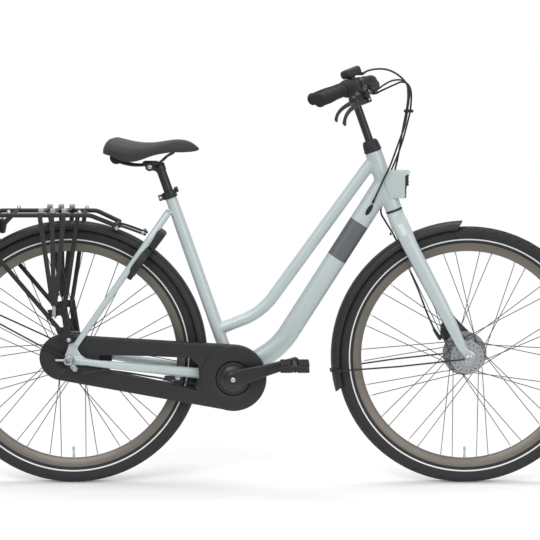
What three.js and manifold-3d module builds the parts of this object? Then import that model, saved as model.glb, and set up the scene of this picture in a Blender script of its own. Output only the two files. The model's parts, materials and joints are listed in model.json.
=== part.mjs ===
// A dutch city bicycle with a closed chaincase, hub gears and roller brakes, in millimetres.
// X points forward, Y to the rider's left and Z up. The tyres stand on Z = 0.

import * as THREE from 'three';
import { mergeVertices } from 'three/addons/utils/BufferGeometryUtils.js';
import Module from 'manifold-3d';

const wasm = await Module();
wasm.setup();

// Driving dimensions of the whole bicycle
const tyreRadius = 351;
const tyreWidth = 40;
const rimRadius = 313;
const rimDepth = 29;
const wheelbase = 1068;
const bottomBracketForward = 438.3;
const bottomBracketHeight = 298.5;
const crankLength = 170;
const steerLeanAngle = 19.9;
const seatLeanAngle = 19.2;
const crankRestAngle = 16.5;
const forkRake = 53;
const rearSpacing = 122;
const frontSpacing = 100;
const axleRadius = 5;
const fenderRadius = 367;
const fenderWidth = 56;
const fenderWall = 1.8;
const chainPitch = 12.7;
const chainLine = 47;
const chainringTeeth = 36;
const sprocketTeeth = 18;
const spokeCount = 36;
const spokeRadius = 1;
const cableRadius = 2.5;

// Fits: the gap between pieces that touch, the gap round a turning piece, and how far a cut runs past
const seatGap = 0.3;
const runningGap = 0.4;
const overrun = 3;
const weld = 0.0001;

// Facets: how many sides a tube, a turned piece and a wheel have
const tubeSides = 12;
const turnedSides = 16;
const wheelSides = 36;
const cableSides = 6;

// Vectors and directions
const vec = (x, y, z) => new THREE.Vector3(x, y, z);
const degrees = THREE.MathUtils.degToRad;
const sideways = vec(0, 1, 0);

function leaning(angle) {
  const lean = degrees(angle);
  return {
    up: vec(-Math.sin(lean), 0, Math.cos(lean)),
    forward: vec(Math.cos(lean), 0, Math.sin(lean)),
  };
}

function along(start, ...moves) {
  const point = start.clone();
  for (const [direction, distance] of moves) point.addScaledVector(direction, distance);
  return point;
}

const rearAxle = vec(0, 0, tyreRadius);
const frontAxle = vec(wheelbase, 0, tyreRadius);
const bottomBracket = vec(bottomBracketForward, 0, bottomBracketHeight);
const steer = leaning(steerLeanAngle);
const seat = leaning(seatLeanAngle);
const steerFoot = along(frontAxle, [steer.forward, -forkRake]);

const onSteer = (forward, side, up) =>
  along(steerFoot, [steer.forward, forward], [sideways, side], [steer.up, up]);
const onSeat = (forward, side, up) =>
  along(bottomBracket, [seat.forward, forward], [sideways, side], [seat.up, up]);

// A point on a circle round an axle, at an angle above straight ahead
function round(centre, radius, angle, side = 0) {
  const turn = degrees(angle);
  return along(centre, [vec(Math.cos(turn), 0, Math.sin(turn)), radius], [sideways, side]);
}

// A closed geometry becomes a solid that can be joined and cut, with its faces pointing out
function solid(geometry, matrix = new THREE.Matrix4()) {
  const bare = geometry.clone();
  bare.deleteAttribute('normal');
  bare.deleteAttribute('uv');
  const merged = mergeVertices(bare, weld).applyMatrix4(matrix);
  const points = merged.attributes.position;
  const faces = [];
  let volume = 0;
  for (let i = 0; i < merged.index.count; i += 3) {
    const [a, b, c] = [0, 1, 2].map((k) => merged.index.getX(i + k));
    if (a === b || b === c || c === a) continue;
    const [p, q, r] = [a, b, c].map((k) => vec().fromBufferAttribute(points, k));
    volume += p.dot(q.cross(r));
    faces.push([a, b, c]);
  }
  const facing = volume < 0 ? faces.map(([a, b, c]) => [a, c, b]) : faces;
  return new wasm.Manifold(new wasm.Mesh({
    numProp: 3,
    vertProperties: new Float32Array(points.array),
    triVerts: new Uint32Array(facing.flat()),
  }));
}

function geometryOf(body) {
  const mesh = body.getMesh();
  const geometry = new THREE.BufferGeometry();
  geometry.setAttribute('position', new THREE.BufferAttribute(mesh.vertProperties.slice(), 3));
  geometry.setIndex(new THREE.BufferAttribute(mesh.triVerts.slice(), 1));
  geometry.computeVertexNormals();
  return geometry;
}

const join = (...bodies) => bodies.flat().reduce((whole, body) => whole.add(body));
const cut = (body, ...tools) => tools.flat().reduce((rest, tool) => rest.subtract(tool), body);

// A straight round bar between two points, which may taper
function rod(from, to, radius, { end = radius, sides = tubeSides } = {}) {
  const run = to.clone().sub(from);
  const turn = new THREE.Quaternion().setFromUnitVectors(vec(0, 1, 0), run.clone().normalize());
  const matrix = new THREE.Matrix4().compose(from.clone().lerp(to, 0.5), turn, vec(1, 1, 1));
  return solid(new THREE.CylinderGeometry(end, radius, run.length(), sides), matrix);
}

// A turned piece: its profile's points are [radius, distance along the axis]
function turned(profile, base, axis, { sides = turnedSides, start = 0 } = {}) {
  const points = profile.map(([radius, height]) => new THREE.Vector2(radius, height));
  if (profile[0][0] > 0) points.push(points[0].clone());
  const turn = new THREE.Quaternion().setFromUnitVectors(vec(0, 1, 0), axis);
  const matrix = new THREE.Matrix4().compose(base, turn, vec(1, 1, 1));
  return solid(new THREE.LatheGeometry(points, sides, start), matrix);
}

// A plate seen from the bicycle's side: its outline's points are [forward, up]
function plate(outline, low, high) {
  const shape = new THREE.Shape(outline.map(([x, z]) => new THREE.Vector2(x, z)));
  const geometry = new THREE.ExtrudeGeometry(shape, { depth: high - low, bevelEnabled: false });
  return solid(geometry, new THREE.Matrix4().makeRotationX(Math.PI / 2).setPosition(0, high, 0));
}

// A block given by its centre and, for each of its three directions, half its size
function block(centre, [u, halfU], [v, halfV], w = u.clone().cross(v), halfW = halfU) {
  const matrix = new THREE.Matrix4().makeBasis(u, v, w).setPosition(centre);
  return solid(new THREE.BoxGeometry(2 * halfU, 2 * halfV, 2 * halfW), matrix);
}

function box(low, high) {
  const half = high.clone().sub(low).multiplyScalar(0.5);
  const middle = low.clone().lerp(high, 0.5);
  return block(middle, [vec(1, 0, 0), half.x], [vec(0, 1, 0), half.y], vec(0, 0, 1), half.z);
}

function oval(halfWide, halfHigh, sides = tubeSides) {
  return Array.from({ length: sides }, (_, i) => {
    const turn = (2 * Math.PI * (i + 0.5)) / sides;
    return [halfWide * Math.cos(turn), halfHigh * Math.sin(turn)];
  });
}

// A path of straight runs joined by round bends, as a tube bender makes it, with its steps in the bends.
// With no steps the corners of a thin wire stay sharp.
class BentPath extends THREE.Curve {
  constructor(corners, bendRadius, bendSteps = 4) {
    super();
    const heading = (i) => corners[i + 1].clone().sub(corners[i]).normalize();
    this.stations = [{ at: corners[0], heading: heading(0) }];
    for (let i = 1; i < corners.length - 1; i += 1) {
      const before = heading(i - 1);
      if (bendSteps === 0) {
        this.stations.push({ at: corners[i], heading: before.add(heading(i)).normalize() });
        continue;
      }
      const angle = before.angleTo(heading(i));
      const axis = before.clone().cross(heading(i)).normalize();
      const start = along(corners[i], [before, -bendRadius * Math.tan(angle / 2)]);
      const inward = axis.clone().cross(before);
      const centre = along(start, [inward, bendRadius]);
      for (let k = 0; k <= bendSteps; k += 1) {
        const turn = (angle * k) / bendSteps;
        this.stations.push({
          at: start.clone().sub(centre).applyAxisAngle(axis, turn).add(centre),
          heading: before.clone().applyAxisAngle(axis, turn),
        });
      }
    }
    this.stations.push({ at: corners.at(-1), heading: heading(corners.length - 2) });
  }

  station(t) {
    return this.stations[Math.round(t * (this.stations.length - 1))];
  }

  getPoint(t) {
    return this.station(t).at.clone();
  }

  getPointAt(t) {
    return this.getPoint(t);
  }

  getTangentAt(t, target = vec(0, 0, 0)) {
    return target.copy(this.station(t).heading);
  }
}

// A round arc about a centre, from the direction u towards the direction v, its angles in degrees
class Arc extends THREE.Curve {
  constructor(centre, radius, from, to, u = vec(1, 0, 0), v = vec(0, 0, 1)) {
    super();
    Object.assign(this, { centre, radius, from, to, u, v });
  }

  getPoint(t) {
    const turn = degrees(this.from + (this.to - this.from) * t);
    return along(this.centre, [this.u, this.radius * Math.cos(turn)], [this.v, this.radius * Math.sin(turn)]);
  }
}

// A section swept along a path: its points are [across, in the plane of the bend]
function sweep(section, path, steps = path.stations.length - 1) {
  const shape = new THREE.Shape(section.map(([x, y]) => new THREE.Vector2(x, y)));
  return solid(new THREE.ExtrudeGeometry(shape, { steps, extrudePath: path, bevelEnabled: false }));
}

const bentTube = (corners, radius, bendRadius, { sides = tubeSides, bendSteps = 4 } = {}) =>
  sweep(oval(radius, radius, sides), new BentPath(corners, bendRadius, bendSteps));

function cable(points, steps, radius = cableRadius) {
  const path = new THREE.CatmullRomCurve3(points.map(([x, y, z]) => vec(x, y, z)), false, 'centripetal');
  return sweep(oval(radius, radius, cableSides), path, steps);
}

// A skin over rings of points that all have the same count, closed at both ends
function loft(rings) {
  const sides = rings[0].length;
  const faces = [];
  for (let i = 0; i < rings.length - 1; i += 1) {
    for (let k = 0; k < sides; k += 1) {
      const next = (k + 1) % sides;
      const [a, b, c, d] = [i * sides + k, i * sides + next, (i + 1) * sides + next, (i + 1) * sides + k];
      faces.push(a, b, c, a, c, d);
    }
  }
  const last = (rings.length - 1) * sides;
  for (let k = 1; k < sides - 1; k += 1) faces.push(0, k + 1, k, last, last + k, last + k + 1);
  const geometry = new THREE.BufferGeometry();
  geometry.setAttribute('position', new THREE.Float32BufferAttribute(rings.flat().flatMap((p) => p.toArray()), 3));
  geometry.setIndex(faces);
  return solid(geometry);
}

const ring = (centre, u, halfU, v, halfV, sides = tubeSides) =>
  oval(halfU, halfV, sides).map(([a, b]) => along(centre, [u, a], [v, b]));

// The outline of a belt round two wheels: two arcs joined by straight runs
function beltOutline(rear, rearRadius, front, frontRadius, arcSteps) {
  const run = front.clone().sub(rear);
  const slope = THREE.MathUtils.radToDeg(Math.atan2(run.z, run.x));
  const tangent = THREE.MathUtils.radToDeg(Math.acos((rearRadius - frontRadius) / run.length()));
  const arc = (centre, radius, from, to) =>
    Array.from({ length: arcSteps + 1 }, (_, i) => {
      const point = round(centre, radius, from + ((to - from) * i) / arcSteps);
      return [point.x, point.z];
    });
  return [
    ...arc(rear, rearRadius, slope + tangent, slope - tangent + 360),
    ...arc(front, frontRadius, slope - tangent, slope + tangent),
  ];
}

// Finishes
const finish = (color, roughness, metalness) =>
  new THREE.MeshStandardMaterial({ color, roughness, metalness });
const framePaint = finish('#b9c6c6', 0.35, 0.3);
const blackPaint = finish('#3a3b3c', 0.5, 0.3);
const blackPlastic = finish('#3d3d3d', 0.55, 0);
const softBlack = finish('#484849', 0.8, 0);
const tyreRubber = finish('#222222', 0.85, 0);
const rimGrey = finish('#75706a', 0.4, 0.6);
const hubSilver = finish('#a5a5a5', 0.35, 0.8);
const steel = finish('#8d8d8d', 0.4, 0.8);
const darkMetal = finish('#333436', 0.45, 0.6);
const lensClear = finish('#2a2c2e', 0.1, 0);
const lensRed = finish('#9c1f1a', 0.2, 0);

const bicycle = new THREE.Group();
const nested = (parent, position) => {
  const group = new THREE.Group();
  group.position.copy(position);
  parent.add(group);
  return group;
};
const steering = nested(bicycle, vec(0, 0, 0));
const rearWheel = nested(bicycle, rearAxle);
const frontWheel = nested(bicycle, frontAxle);
const crankset = nested(bicycle, vec(0, 0, 0));

function piece(parent, name, body, material) {
  const mesh = new THREE.Mesh(geometryOf(body), material);
  mesh.name = name;
  parent.add(mesh);
}

// Frame: head tube and main tubes
const headTubeLow = 440;
const headTubeHigh = 606;
const headTubeRadius = 22.5;
const headTubeBore = 17;
const topTubeRadius = 16;
const topTubeAtHead = 590;
const topTubeAtSeat = 130;
const topTubeBendShares = [0.279, 0.1];
const topTubeBendRadius = 180;
const downTubeHalfWidth = 22;
const downTubeHalfHeight = 28;
const downTubeAtHead = 515;
const downTubeBendShares = [0.308, 0.147];
const downTubeBendRadius = 200;
const seatTubeRadius = 17;
const seatTubeLength = 511;
const seatPostRadius = 12.5;
const seatBoreDepth = 270;
const shellHalfLength = 34;
const shellRadius = 22;
const shellBore = 17.5;

const topTubeHead = onSteer(0, 0, topTubeAtHead);
const topTubeSeat = onSeat(0, 0, topTubeAtSeat);
const downTubeHead = onSteer(0, 0, downTubeAtHead);
const between = (low, high, [shareX, shareZ]) =>
  vec(THREE.MathUtils.lerp(low.x, high.x, shareX), 0, THREE.MathUtils.lerp(low.z, high.z, shareZ));

const headTube = rod(onSteer(0, 0, headTubeLow), onSteer(0, 0, headTubeHigh), headTubeRadius, { sides: turnedSides });
const topTube = bentTube(
  [topTubeHead, between(topTubeSeat, topTubeHead, topTubeBendShares), topTubeSeat],
  topTubeRadius,
  topTubeBendRadius,
);
const downTube = sweep(
  oval(downTubeHalfWidth, downTubeHalfHeight, 14),
  new BentPath(
    [downTubeHead, between(bottomBracket, downTubeHead, downTubeBendShares), bottomBracket],
    downTubeBendRadius,
  ),
);
const seatTube = rod(bottomBracket, onSeat(0, 0, seatTubeLength), seatTubeRadius, { sides: 16 });
const bracketShell = rod(
  along(bottomBracket, [sideways, -shellHalfLength]),
  along(bottomBracket, [sideways, shellHalfLength]),
  shellRadius,
  { sides: turnedSides },
);

// Frame: stays, dropouts and bridges, the same on both sides
const dropoutWall = 6;
const dropoutSide = rearSpacing / 2;
const dropoutReach = 52;
const dropoutRise = 62;
const dropoutOutlineShares = [
  [-0.28, 0.36], [0, 0.68], [-0.12, 0.92], [0.06, 1], [0.28, 0.9], [0.5, 0.7],
  [0.62, 0.42], [1, 0.02], [0.82, -0.32], [0.2, -0.34], [-0.38, -0.14], [-0.38, 0.16],
];
const chainstayStart = 15;
const chainstayRearDrop = 3;
const chainstayFrontDrop = 3.5;
const chainstayRearSide = 67;
const chainstayFrontSide = 21;
const chainstayHalfWidth = 9;
const chainstayHalfHeight = 15;
const chainstayShares = [
  [0, 1.02, 0.67, 0.6], [0.14, 1.03, 0.72, 0.67], [0.185, 1, 0.72, 0.7], [0.44, 0.61, 1, 0.83],
  [0.67, 0.3, 0.89, 0.97], [0.79, 0.14, 0.83, 1], [1, 0, 0.89, 1],
];
const seatstayTop = 476;
const seatstayTopBack = 17;
const seatstayTopSide = 16;
const seatstayFootForward = 18;
const seatstayFootRise = 37;
const seatstayFootSide = 67;
const seatstayRadius = 9.5;
const seatstayShares = [[0, 0, 1, 1], [0.2, 0.51, 1, 0.98], [0.89, 1, 0.58, 0.9], [1, 1, 0.55, 0.88]];
const bridgeRadius = 6;
const fenderTabRadius = 5;

const seatstayAt = (share, sideShare, side) => {
  const top = onSeat(-seatstayTopBack, side * seatstayTopSide, seatstayTop);
  const foot = along(rearAxle, [vec(seatstayFootForward, side * seatstayFootSide, seatstayFootRise), 1]);
  const point = top.clone().lerp(foot, share);
  point.y = THREE.MathUtils.lerp(top.y, foot.y, sideShare);
  return point;
};

function seatstayTube(side, extra = 0) {
  const run = seatstayAt(1, 1, side).sub(seatstayAt(0, 0, side)).setY(0).normalize();
  const across = run.clone().cross(sideways);
  return loft(seatstayShares.map(([share, sideShare, wide, deep]) => ring(
    seatstayAt(share, sideShare, side),
    sideways, wide * seatstayRadius + extra, across, deep * seatstayRadius + extra, 8,
  )));
}

function frameSide(side) {
  const chainstayRear = vec(chainstayStart, side * chainstayRearSide, tyreRadius - chainstayRearDrop);
  const chainstayFront = along(bottomBracket, [vec(0, side * chainstayFrontSide, -chainstayFrontDrop), 1]);
  const chainstay = loft(chainstayShares.map(([share, sideShare, wide, high]) => {
    const centre = chainstayRear.clone().lerp(chainstayFront, share);
    centre.y = side * THREE.MathUtils.lerp(chainstayFrontSide, chainstayRearSide, sideShare);
    return ring(centre, sideways, wide * chainstayHalfWidth, vec(0, 0, 1), high * chainstayHalfHeight, 8);
  }));
  const outline = dropoutOutlineShares.map(([x, z]) => [x * dropoutReach, tyreRadius + z * dropoutRise]);
  const faces = [side * dropoutSide, side * (dropoutSide + dropoutWall)].sort((a, b) => a - b);
  return [chainstay, seatstayTube(side), plate(outline, ...faces)];
}

const [bridgeEnd, bridgeFarEnd] = [-1, 1].map((side) => seatstayAt(...seatstayShares[1].slice(0, 2), side));
const bridgeMiddle = bridgeEnd.clone().lerp(bridgeFarEnd, 0.5);
const bridgeTab = rod(
  bridgeMiddle,
  along(rearAxle, [bridgeMiddle.clone().sub(rearAxle).normalize(), fenderRadius + seatGap]),
  fenderTabRadius,
  { sides: 8 },
);
const bridge = join(rod(bridgeEnd, bridgeFarEnd, bridgeRadius, { sides: 8 }), bridgeTab);

// Guide under the right chainstay for the rear run of the gear cable
const guideForward = 288;
const guideHalfLength = 7;
const guideSide = 33;
const guideHalfWidth = 3;
const guideLow = 287.8;
const guideHigh = 303;
const cableGuide = box(
  vec(guideForward - guideHalfLength, -guideSide - guideHalfWidth, guideLow),
  vec(guideForward + guideHalfLength, -guideSide + guideHalfWidth, guideHigh),
);

// Kickstand plate behind the bottom bracket, with the pin that its leg turns on
const standPlateBack = 66;
const standPlateFront = 34;
const standPlateHalfWidth = 24;
const standPlateWall = 9;
const standEarSide = 34;
const standEarWall = 6;
const standPivotBack = 60;
const standPivotDrop = 32;
const standPinRadius = 5;
const standHubWidth = 11;
const standHubRadius = 12;
const standPivot = along(bottomBracket, [vec(-standPivotBack, 0, -standPivotDrop), 1]);

const standPlate = box(
  along(bottomBracket, [vec(-standPlateBack, -standPlateHalfWidth, -standPlateWall), 1]),
  along(bottomBracket, [vec(-standPlateFront, standPlateHalfWidth, 0), 1]),
);
const standEar = box(
  vec(standPivot.x - standHubRadius, standPlateHalfWidth - standEarWall, standPivot.z - standHubRadius),
  vec(standPivot.x + standHubRadius, standEarSide + standEarWall, bottomBracket.z - standPlateWall / 2),
);
const standPin = rod(
  along(standPivot, [sideways, standEarSide]),
  along(standPivot, [sideways, standEarSide + standEarWall + standHubWidth + overrun]),
  standPinRadius,
  { sides: 10 },
);

const frameBores = [
  rod(onSteer(0, 0, headTubeLow - overrun), onSteer(0, 0, headTubeHigh + overrun), headTubeBore, { sides: turnedSides }),
  rod(
    onSeat(0, 0, seatTubeLength - seatBoreDepth),
    onSeat(0, 0, seatTubeLength + overrun),
    seatPostRadius + runningGap,
    { sides: 16 },
  ),
  rod(
    along(bottomBracket, [sideways, -shellHalfLength - overrun]),
    along(bottomBracket, [sideways, shellHalfLength + overrun]),
    shellBore,
    { sides: turnedSides },
  ),
  ...[-1, 1].map((side) => rod(
    along(rearAxle, [sideways, side * (dropoutSide - overrun)]),
    along(rearAxle, [sideways, side * (dropoutSide + dropoutWall + overrun)]),
    axleRadius + seatGap,
  )),
];
piece(bicycle, 'main_frame', cut(
  join(
    headTube, topTube, downTube, seatTube, bracketShell, bridge,
    frameSide(-1), frameSide(1), standPlate, standEar, standPin, cableGuide,
  ),
  frameBores,
), framePaint);

// Headset: the upper cup with its cone cover, and the thin lower cup above the fork crown
const steererRadius = 14.3;
const stemRadius = 11;
const upperCupRadius = 24;
const upperCupHeight = 7;
const upperConeTop = 31;
const upperConeRadius = 15;
const lowerCupHeight = 3.4;
const crownTop = headTubeLow - lowerCupHeight - 2 * seatGap;

piece(bicycle, 'upper_headset_cup', turned([
  [steererRadius + runningGap, 0], [upperCupRadius, 0], [upperCupRadius, upperCupHeight],
  [upperConeRadius, upperConeTop], [stemRadius + runningGap, upperConeTop],
  [stemRadius + runningGap, upperCupHeight + overrun], [steererRadius + runningGap, upperCupHeight],
], onSteer(0, 0, headTubeHigh + seatGap), steer.up), blackPlastic);
piece(bicycle, 'lower_headset_cup', turned([
  [steererRadius + runningGap, 0], [headTubeRadius, 0],
  [headTubeRadius, lowerCupHeight], [steererRadius + runningGap, lowerCupHeight],
], onSteer(0, 0, crownTop + seatGap), steer.up), blackPlastic);

// Headlamp: a shell as pale as the frame, wrapped on the head tube, with its lens under a short visor
const lampTop = 712;
const lampHeight = 73.5;
const lampBack = 54;
const lampNose = 79;
const lampFace = 67;
const lampHalfWidth = 26;
const lampLensHalfWidth = 20;
const lampVisorShare = 0.2;
const lampOffset = wheelbase - 238;
const lampLensReach = 9;
const lampZ = tyreRadius + lampTop - 211;

const lampSide = [
  [lampOffset, lampZ], [lampOffset + lampNose, lampZ], [lampOffset + lampNose, lampZ - lampVisorShare * lampHeight],
  [lampOffset + lampFace, lampZ - 2 * lampVisorShare * lampHeight], [lampOffset + lampFace, lampZ - lampHeight],
  [lampOffset + lampBack / 2, lampZ - lampHeight],
];
piece(bicycle, 'headlamp_housing', cut(
  plate(lampSide, -lampHalfWidth, lampHalfWidth),
  rod(onSteer(0, 0, headTubeLow), onSteer(0, 0, headTubeHigh), headTubeRadius + seatGap, { sides: turnedSides }),
), framePaint);
const lensTop = lampZ - 2 * lampVisorShare * lampHeight;
piece(bicycle, 'headlamp_lens', plate([
  [lampOffset + lampFace + seatGap, lensTop - seatGap], [lampOffset + lampFace + lampLensReach, lensTop],
  [lampOffset + lampFace + lampLensReach, lensTop - lampLensReach],
  [lampOffset + lampFace + lampLensReach / 2, lensTop - 2 * lampLensReach],
  [lampOffset + lampFace + lampLensReach / 2, lampZ - lampHeight + seatGap],
  [lampOffset + lampFace + seatGap, lampZ - lampHeight + seatGap],
], -lampLensHalfWidth, lampLensHalfWidth), lensClear);

// Wheels: the tyre is open towards the rim, its section in shares of its height and half its width
const tyreShares = [
  [0, 0.62], [0.42, 1], [0.76, 0.75], [1, 0.35], [1, -0.35], [0.76, -0.75],
  [0.42, -1], [0, -0.62], [0, -0.5], [0.66, -0.6], [0.66, 0.6], [0, 0.5],
];
const rimHalfWidth = 12.5;
const rimShares = [
  [0, 0.48], [0.62, 1], [1, 1], [0.84, 0.6], [0.84, -0.6], [1, -1], [0.62, -1], [0, -0.48],
];
const valveRadius = 3.5;
const valveLength = 33;
const wheelStart = Math.PI / wheelSides;
const flatShare = Math.cos(wheelStart);
const origin = vec(0, 0, 0);

function tyre() {
  const height = tyreRadius / flatShare - rimRadius - seatGap;
  const profile = tyreShares.map(([up, out]) => [rimRadius + seatGap + up * height, (out * tyreWidth) / 2]);
  return turned(profile, origin, sideways, { sides: wheelSides, start: wheelStart });
}

function rim() {
  const profile = rimShares.map(([up, out]) => [rimRadius - (1 - up) * rimDepth, out * rimHalfWidth]);
  const ringBody = turned(profile, origin, sideways, { sides: wheelSides, start: wheelStart });
  const valveTop = rimRadius - rimDepth + overrun;
  const valve = rod(vec(0, 0, -valveTop), vec(0, 0, valveLength - valveTop), valveRadius, { sides: 8 });
  return join(ringBody, valve);
}

// Spokes leave the rim in pairs, one to each flange, and every second pair leans the other way
const firstPairAngle = -80;
const pairHalfAngle = 3.25;
const crossingAngle = 60;
const headOffset = 2;
const rimOffset = 1;

function spokes(rightFlange, leftFlange, holeRadius) {
  const rimEnd = (rimRadius - rimDepth) * flatShare / Math.cos(degrees(pairHalfAngle)) - 1.5 * seatGap;
  const pairs = spokeCount / 2;
  return Array.from({ length: spokeCount }, (_, i) => {
    const pair = Math.floor(i / 2);
    const out = i % 2 === 0 ? 1 : -1;
    const hand = pair % 2 === 0 ? 1 : -1;
    const centre = firstPairAngle + (pair * 360) / pairs;
    const flange = out > 0 ? rightFlange : leftFlange;
    const hub = round(origin, holeRadius, centre + hand * crossingAngle, flange + hand * headOffset);
    const end = round(origin, rimEnd, centre + out * pairHalfAngle, hand * rimOffset);
    return rod(hub, end, spokeRadius, { sides: 3 });
  });
}

const hubBore = axleRadius + runningGap;
const frontHubProfile = [
  [hubBore, -46], [22, -46], [24, -43], [24, -36], [45, -36], [45, -30], [36, -30],
  [36, 20], [42, 20], [42, 25], [20, 25], [20, 28], [60, 28], [60, 35], [hubBore, 35],
];
const frontFlanges = [-33, 22.5];
const frontHoleRadius = 41;
const rearHubProfile = [
  [hubBore, -36], [20, -36], [24, -29], [37, -29], [37, -24], [28, -20],
  [28, 22], [37, 25], [37, 30], [22, 30], [22, 37], [60, 37], [60, 44], [hubBore, 44],
];
const rearFlanges = [-26.5, 27.5];
const rearHoleRadius = 33.5;

function wheel(group, end, profile, flanges, holeRadius) {
  const hub = turned(profile, origin, sideways, { sides: 12 });
  piece(group, `${end}_hub`, join(hub, spokes(...flanges, holeRadius)), hubSilver);
  piece(group, `${end}_rim`, rim(), rimGrey);
  piece(group, `${end}_tyre`, tyre(), tyreRubber);
}
wheel(frontWheel, 'front', frontHubProfile, frontFlanges, frontHoleRadius);
wheel(rearWheel, 'rear', rearHubProfile, rearFlanges, rearHoleRadius);

// Axles with their cones, washers and nuts, each given by its distances from the wheel's middle
const nutRadius = 10;
const coneRadius = 9;
const washerRadius = 9;
const washerWall = 4.8;
const nutHeight = 8;
const axleEnd = 4;
const forkPlateWall = 6;

function axle(centre, cones, halfOver) {
  const nutSide = halfOver + washerWall + 2 * seatGap;
  const ends = [-1, 1].map((side) => along(centre, [sideways, side * (nutSide + nutHeight + axleEnd)]));
  const nuts = [-1, 1].map((side) => rod(
    along(centre, [sideways, side * nutSide]),
    along(centre, [sideways, side * (nutSide + nutHeight)]),
    nutRadius,
    { sides: 6 },
  ));
  const collars = cones.map(([from, to]) =>
    rod(along(centre, [sideways, from]), along(centre, [sideways, to]), coneRadius, { sides: 8 }));
  return join(rod(...ends, axleRadius, { sides: 8 }), nuts, collars);
}
const frontHalfOver = frontSpacing / 2 + forkPlateWall;
const rearHalfOver = dropoutSide + dropoutWall;
piece(steering, 'front_axle', axle(frontAxle, [[-49.7, -46.4], [47.5, 49.7]], frontHalfOver), steel);

// The rear axle also carries the chain tensioner that bears on the right dropout
const tensionerBack = 34;
const tensionerRadius = 3;
const rearAxleBody = axle(rearAxle, [[-60.7, -54.4], [59.8, 60.7]], rearHalfOver);
const tensionerSide = -(rearHalfOver + 2 * washerWall + 3 * seatGap);
const tensioner = rod(
  along(rearAxle, [sideways, tensionerSide]),
  along(rearAxle, [sideways, tensionerSide], [vec(-1, 0, 0), tensionerBack]),
  tensionerRadius,
  { sides: 8 },
);
piece(bicycle, 'rear_axle', join(rearAxleBody, tensioner), steel);

// Chaincase: two shells whose open sides meet, with a window that the right chainstay passes through
const caseInner = -37;
const caseSplit = -47.8;
const caseOuter = -60.5;
const caseWall = 2;
const caseFrontRadius = 89;
const caseRearRadius = 61.5;
const caseRear = along(rearAxle, [vec(-19, 0, 2.7), 1]);
const caseArcSteps = 8;
const lobeRaise = 2.5;
const windowShares = [
  [0.183, 0.335], [0.493, 0.551], [0.737, 0.678], [0.785, 0.41], [0.792, -0.148],
  [0.778, -0.719], [0.554, -0.551], [0.267, -0.358], [0.205, -0.247], [0.173, 0.018],
];
const outerFrontHole = 22;
const outerRearHole = 12;
const innerFrontHole = 24;
const innerRearHole = 25;

// Window points: a share of the way between the axles, and a height over that line
const caseWindow = windowShares.map(([share, rise]) => {
  const point = rearAxle.clone().lerp(bottomBracket, share);
  return [point.x, point.z + rise * caseRearRadius];
});

// An outline moved outwards, or inwards by a negative distance
function grown(outline, distance) {
  const turning = outline.reduce((sum, [x, z], i) => {
    const [nextX, nextZ] = outline[(i + 1) % outline.length];
    return sum + x * nextZ - nextX * z;
  }, 0);
  const outward = Math.sign(turning) * distance;
  return outline.map(([x, z], i) => {
    const point = new THREE.Vector2(x, z);
    const before = new THREE.Vector2(...outline.at(i - 1));
    const after = new THREE.Vector2(...outline[(i + 1) % outline.length]);
    const into = point.clone().sub(before).normalize();
    const out = after.sub(point).normalize();
    const half = into.clone().add(out).normalize();
    const reach = outward / half.dot(into);
    return [x + half.y * reach, z - half.x * reach];
  });
}

const caseOutline = (inset) => beltOutline(
  caseRear, caseRearRadius - inset, bottomBracket, caseFrontRadius - inset, caseArcSteps,
);

// One shell from its closed face to its open edge
function shell(face, edge, holes) {
  const side = Math.sign(edge - face);
  const between = (a, b) => [Math.min(a, b), Math.max(a, b)];
  const recess = cut(
    plate(caseOutline(caseWall), ...between(face + side * caseWall, edge + side * overrun)),
    plate(grown(caseWindow, caseWall), ...between(face, edge + side * 2 * overrun)),
  );
  const bores = holes.map(([centre, radius]) => rod(
    vec(centre.x, face - side * 2 * overrun, centre.z),
    vec(centre.x, face + side * 2 * overrun, centre.z),
    radius,
    { sides: turnedSides },
  ));
  return cut(
    plate(caseOutline(0), ...between(face, edge)),
    recess,
    plate(caseWindow, ...between(face - side * overrun, edge + side * overrun)),
    bores,
  );
}

const lobe = turned([
  [outerFrontHole, 0], [caseFrontRadius, 0], [caseFrontRadius - lobeRaise, -lobeRaise],
  [outerFrontHole, -lobeRaise],
], along(bottomBracket, [sideways, caseOuter + weld]), sideways, { sides: 28 });
piece(bicycle, 'chaincase_outer', join(
  shell(caseOuter, caseSplit + seatGap / 2, [[bottomBracket, outerFrontHole], [rearAxle, outerRearHole]]),
  cut(lobe, plate(caseWindow, caseOuter - 2 * lobeRaise, caseOuter + overrun)),
), blackPlastic);
piece(bicycle, 'chaincase_inner', shell(
  caseInner,
  caseSplit + seatGap * 1.5,
  [[bottomBracket, innerFrontHole], [rearAxle, innerRearHole]],
), blackPlastic);

// Drive: toothed wheels with a tooth for each pitch of the chain
const toothHeight = 3.4;
const toothDepth = 3.6;
const toothWall = 2.4;
const pitchRadius = (teeth) => chainPitch / (2 * Math.sin(Math.PI / teeth));

function toothed(centre, teeth) {
  const middle = pitchRadius(teeth);
  const outline = Array.from({ length: teeth * 2 }, (_, i) => {
    const point = round(centre, i % 2 === 0 ? middle - toothDepth : middle + toothHeight, (i * 180) / teeth);
    return [point.x, point.z];
  });
  return plate(outline, -chainLine - toothWall / 2, -chainLine + toothWall / 2);
}

// The sprocket turns on its sleeve round the rear axle
const sleeveRadius = 16;
const sleeveFrom = -53.8;
const sleeveTo = -36.5;
const sleeve = turned([
  [hubBore, sleeveFrom], [sleeveRadius, sleeveFrom], [sleeveRadius, sleeveTo], [hubBore, sleeveTo],
], rearAxle, sideways, { sides: 12 });
const sleeveBore = rod(
  along(rearAxle, [sideways, sleeveFrom]),
  along(rearAxle, [sideways, sleeveTo]),
  sleeveRadius * flatShare - overrun,
);
piece(bicycle, 'sprocket', join(cut(toothed(rearAxle, sprocketTeeth), sleeveBore), sleeve), steel);

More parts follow.
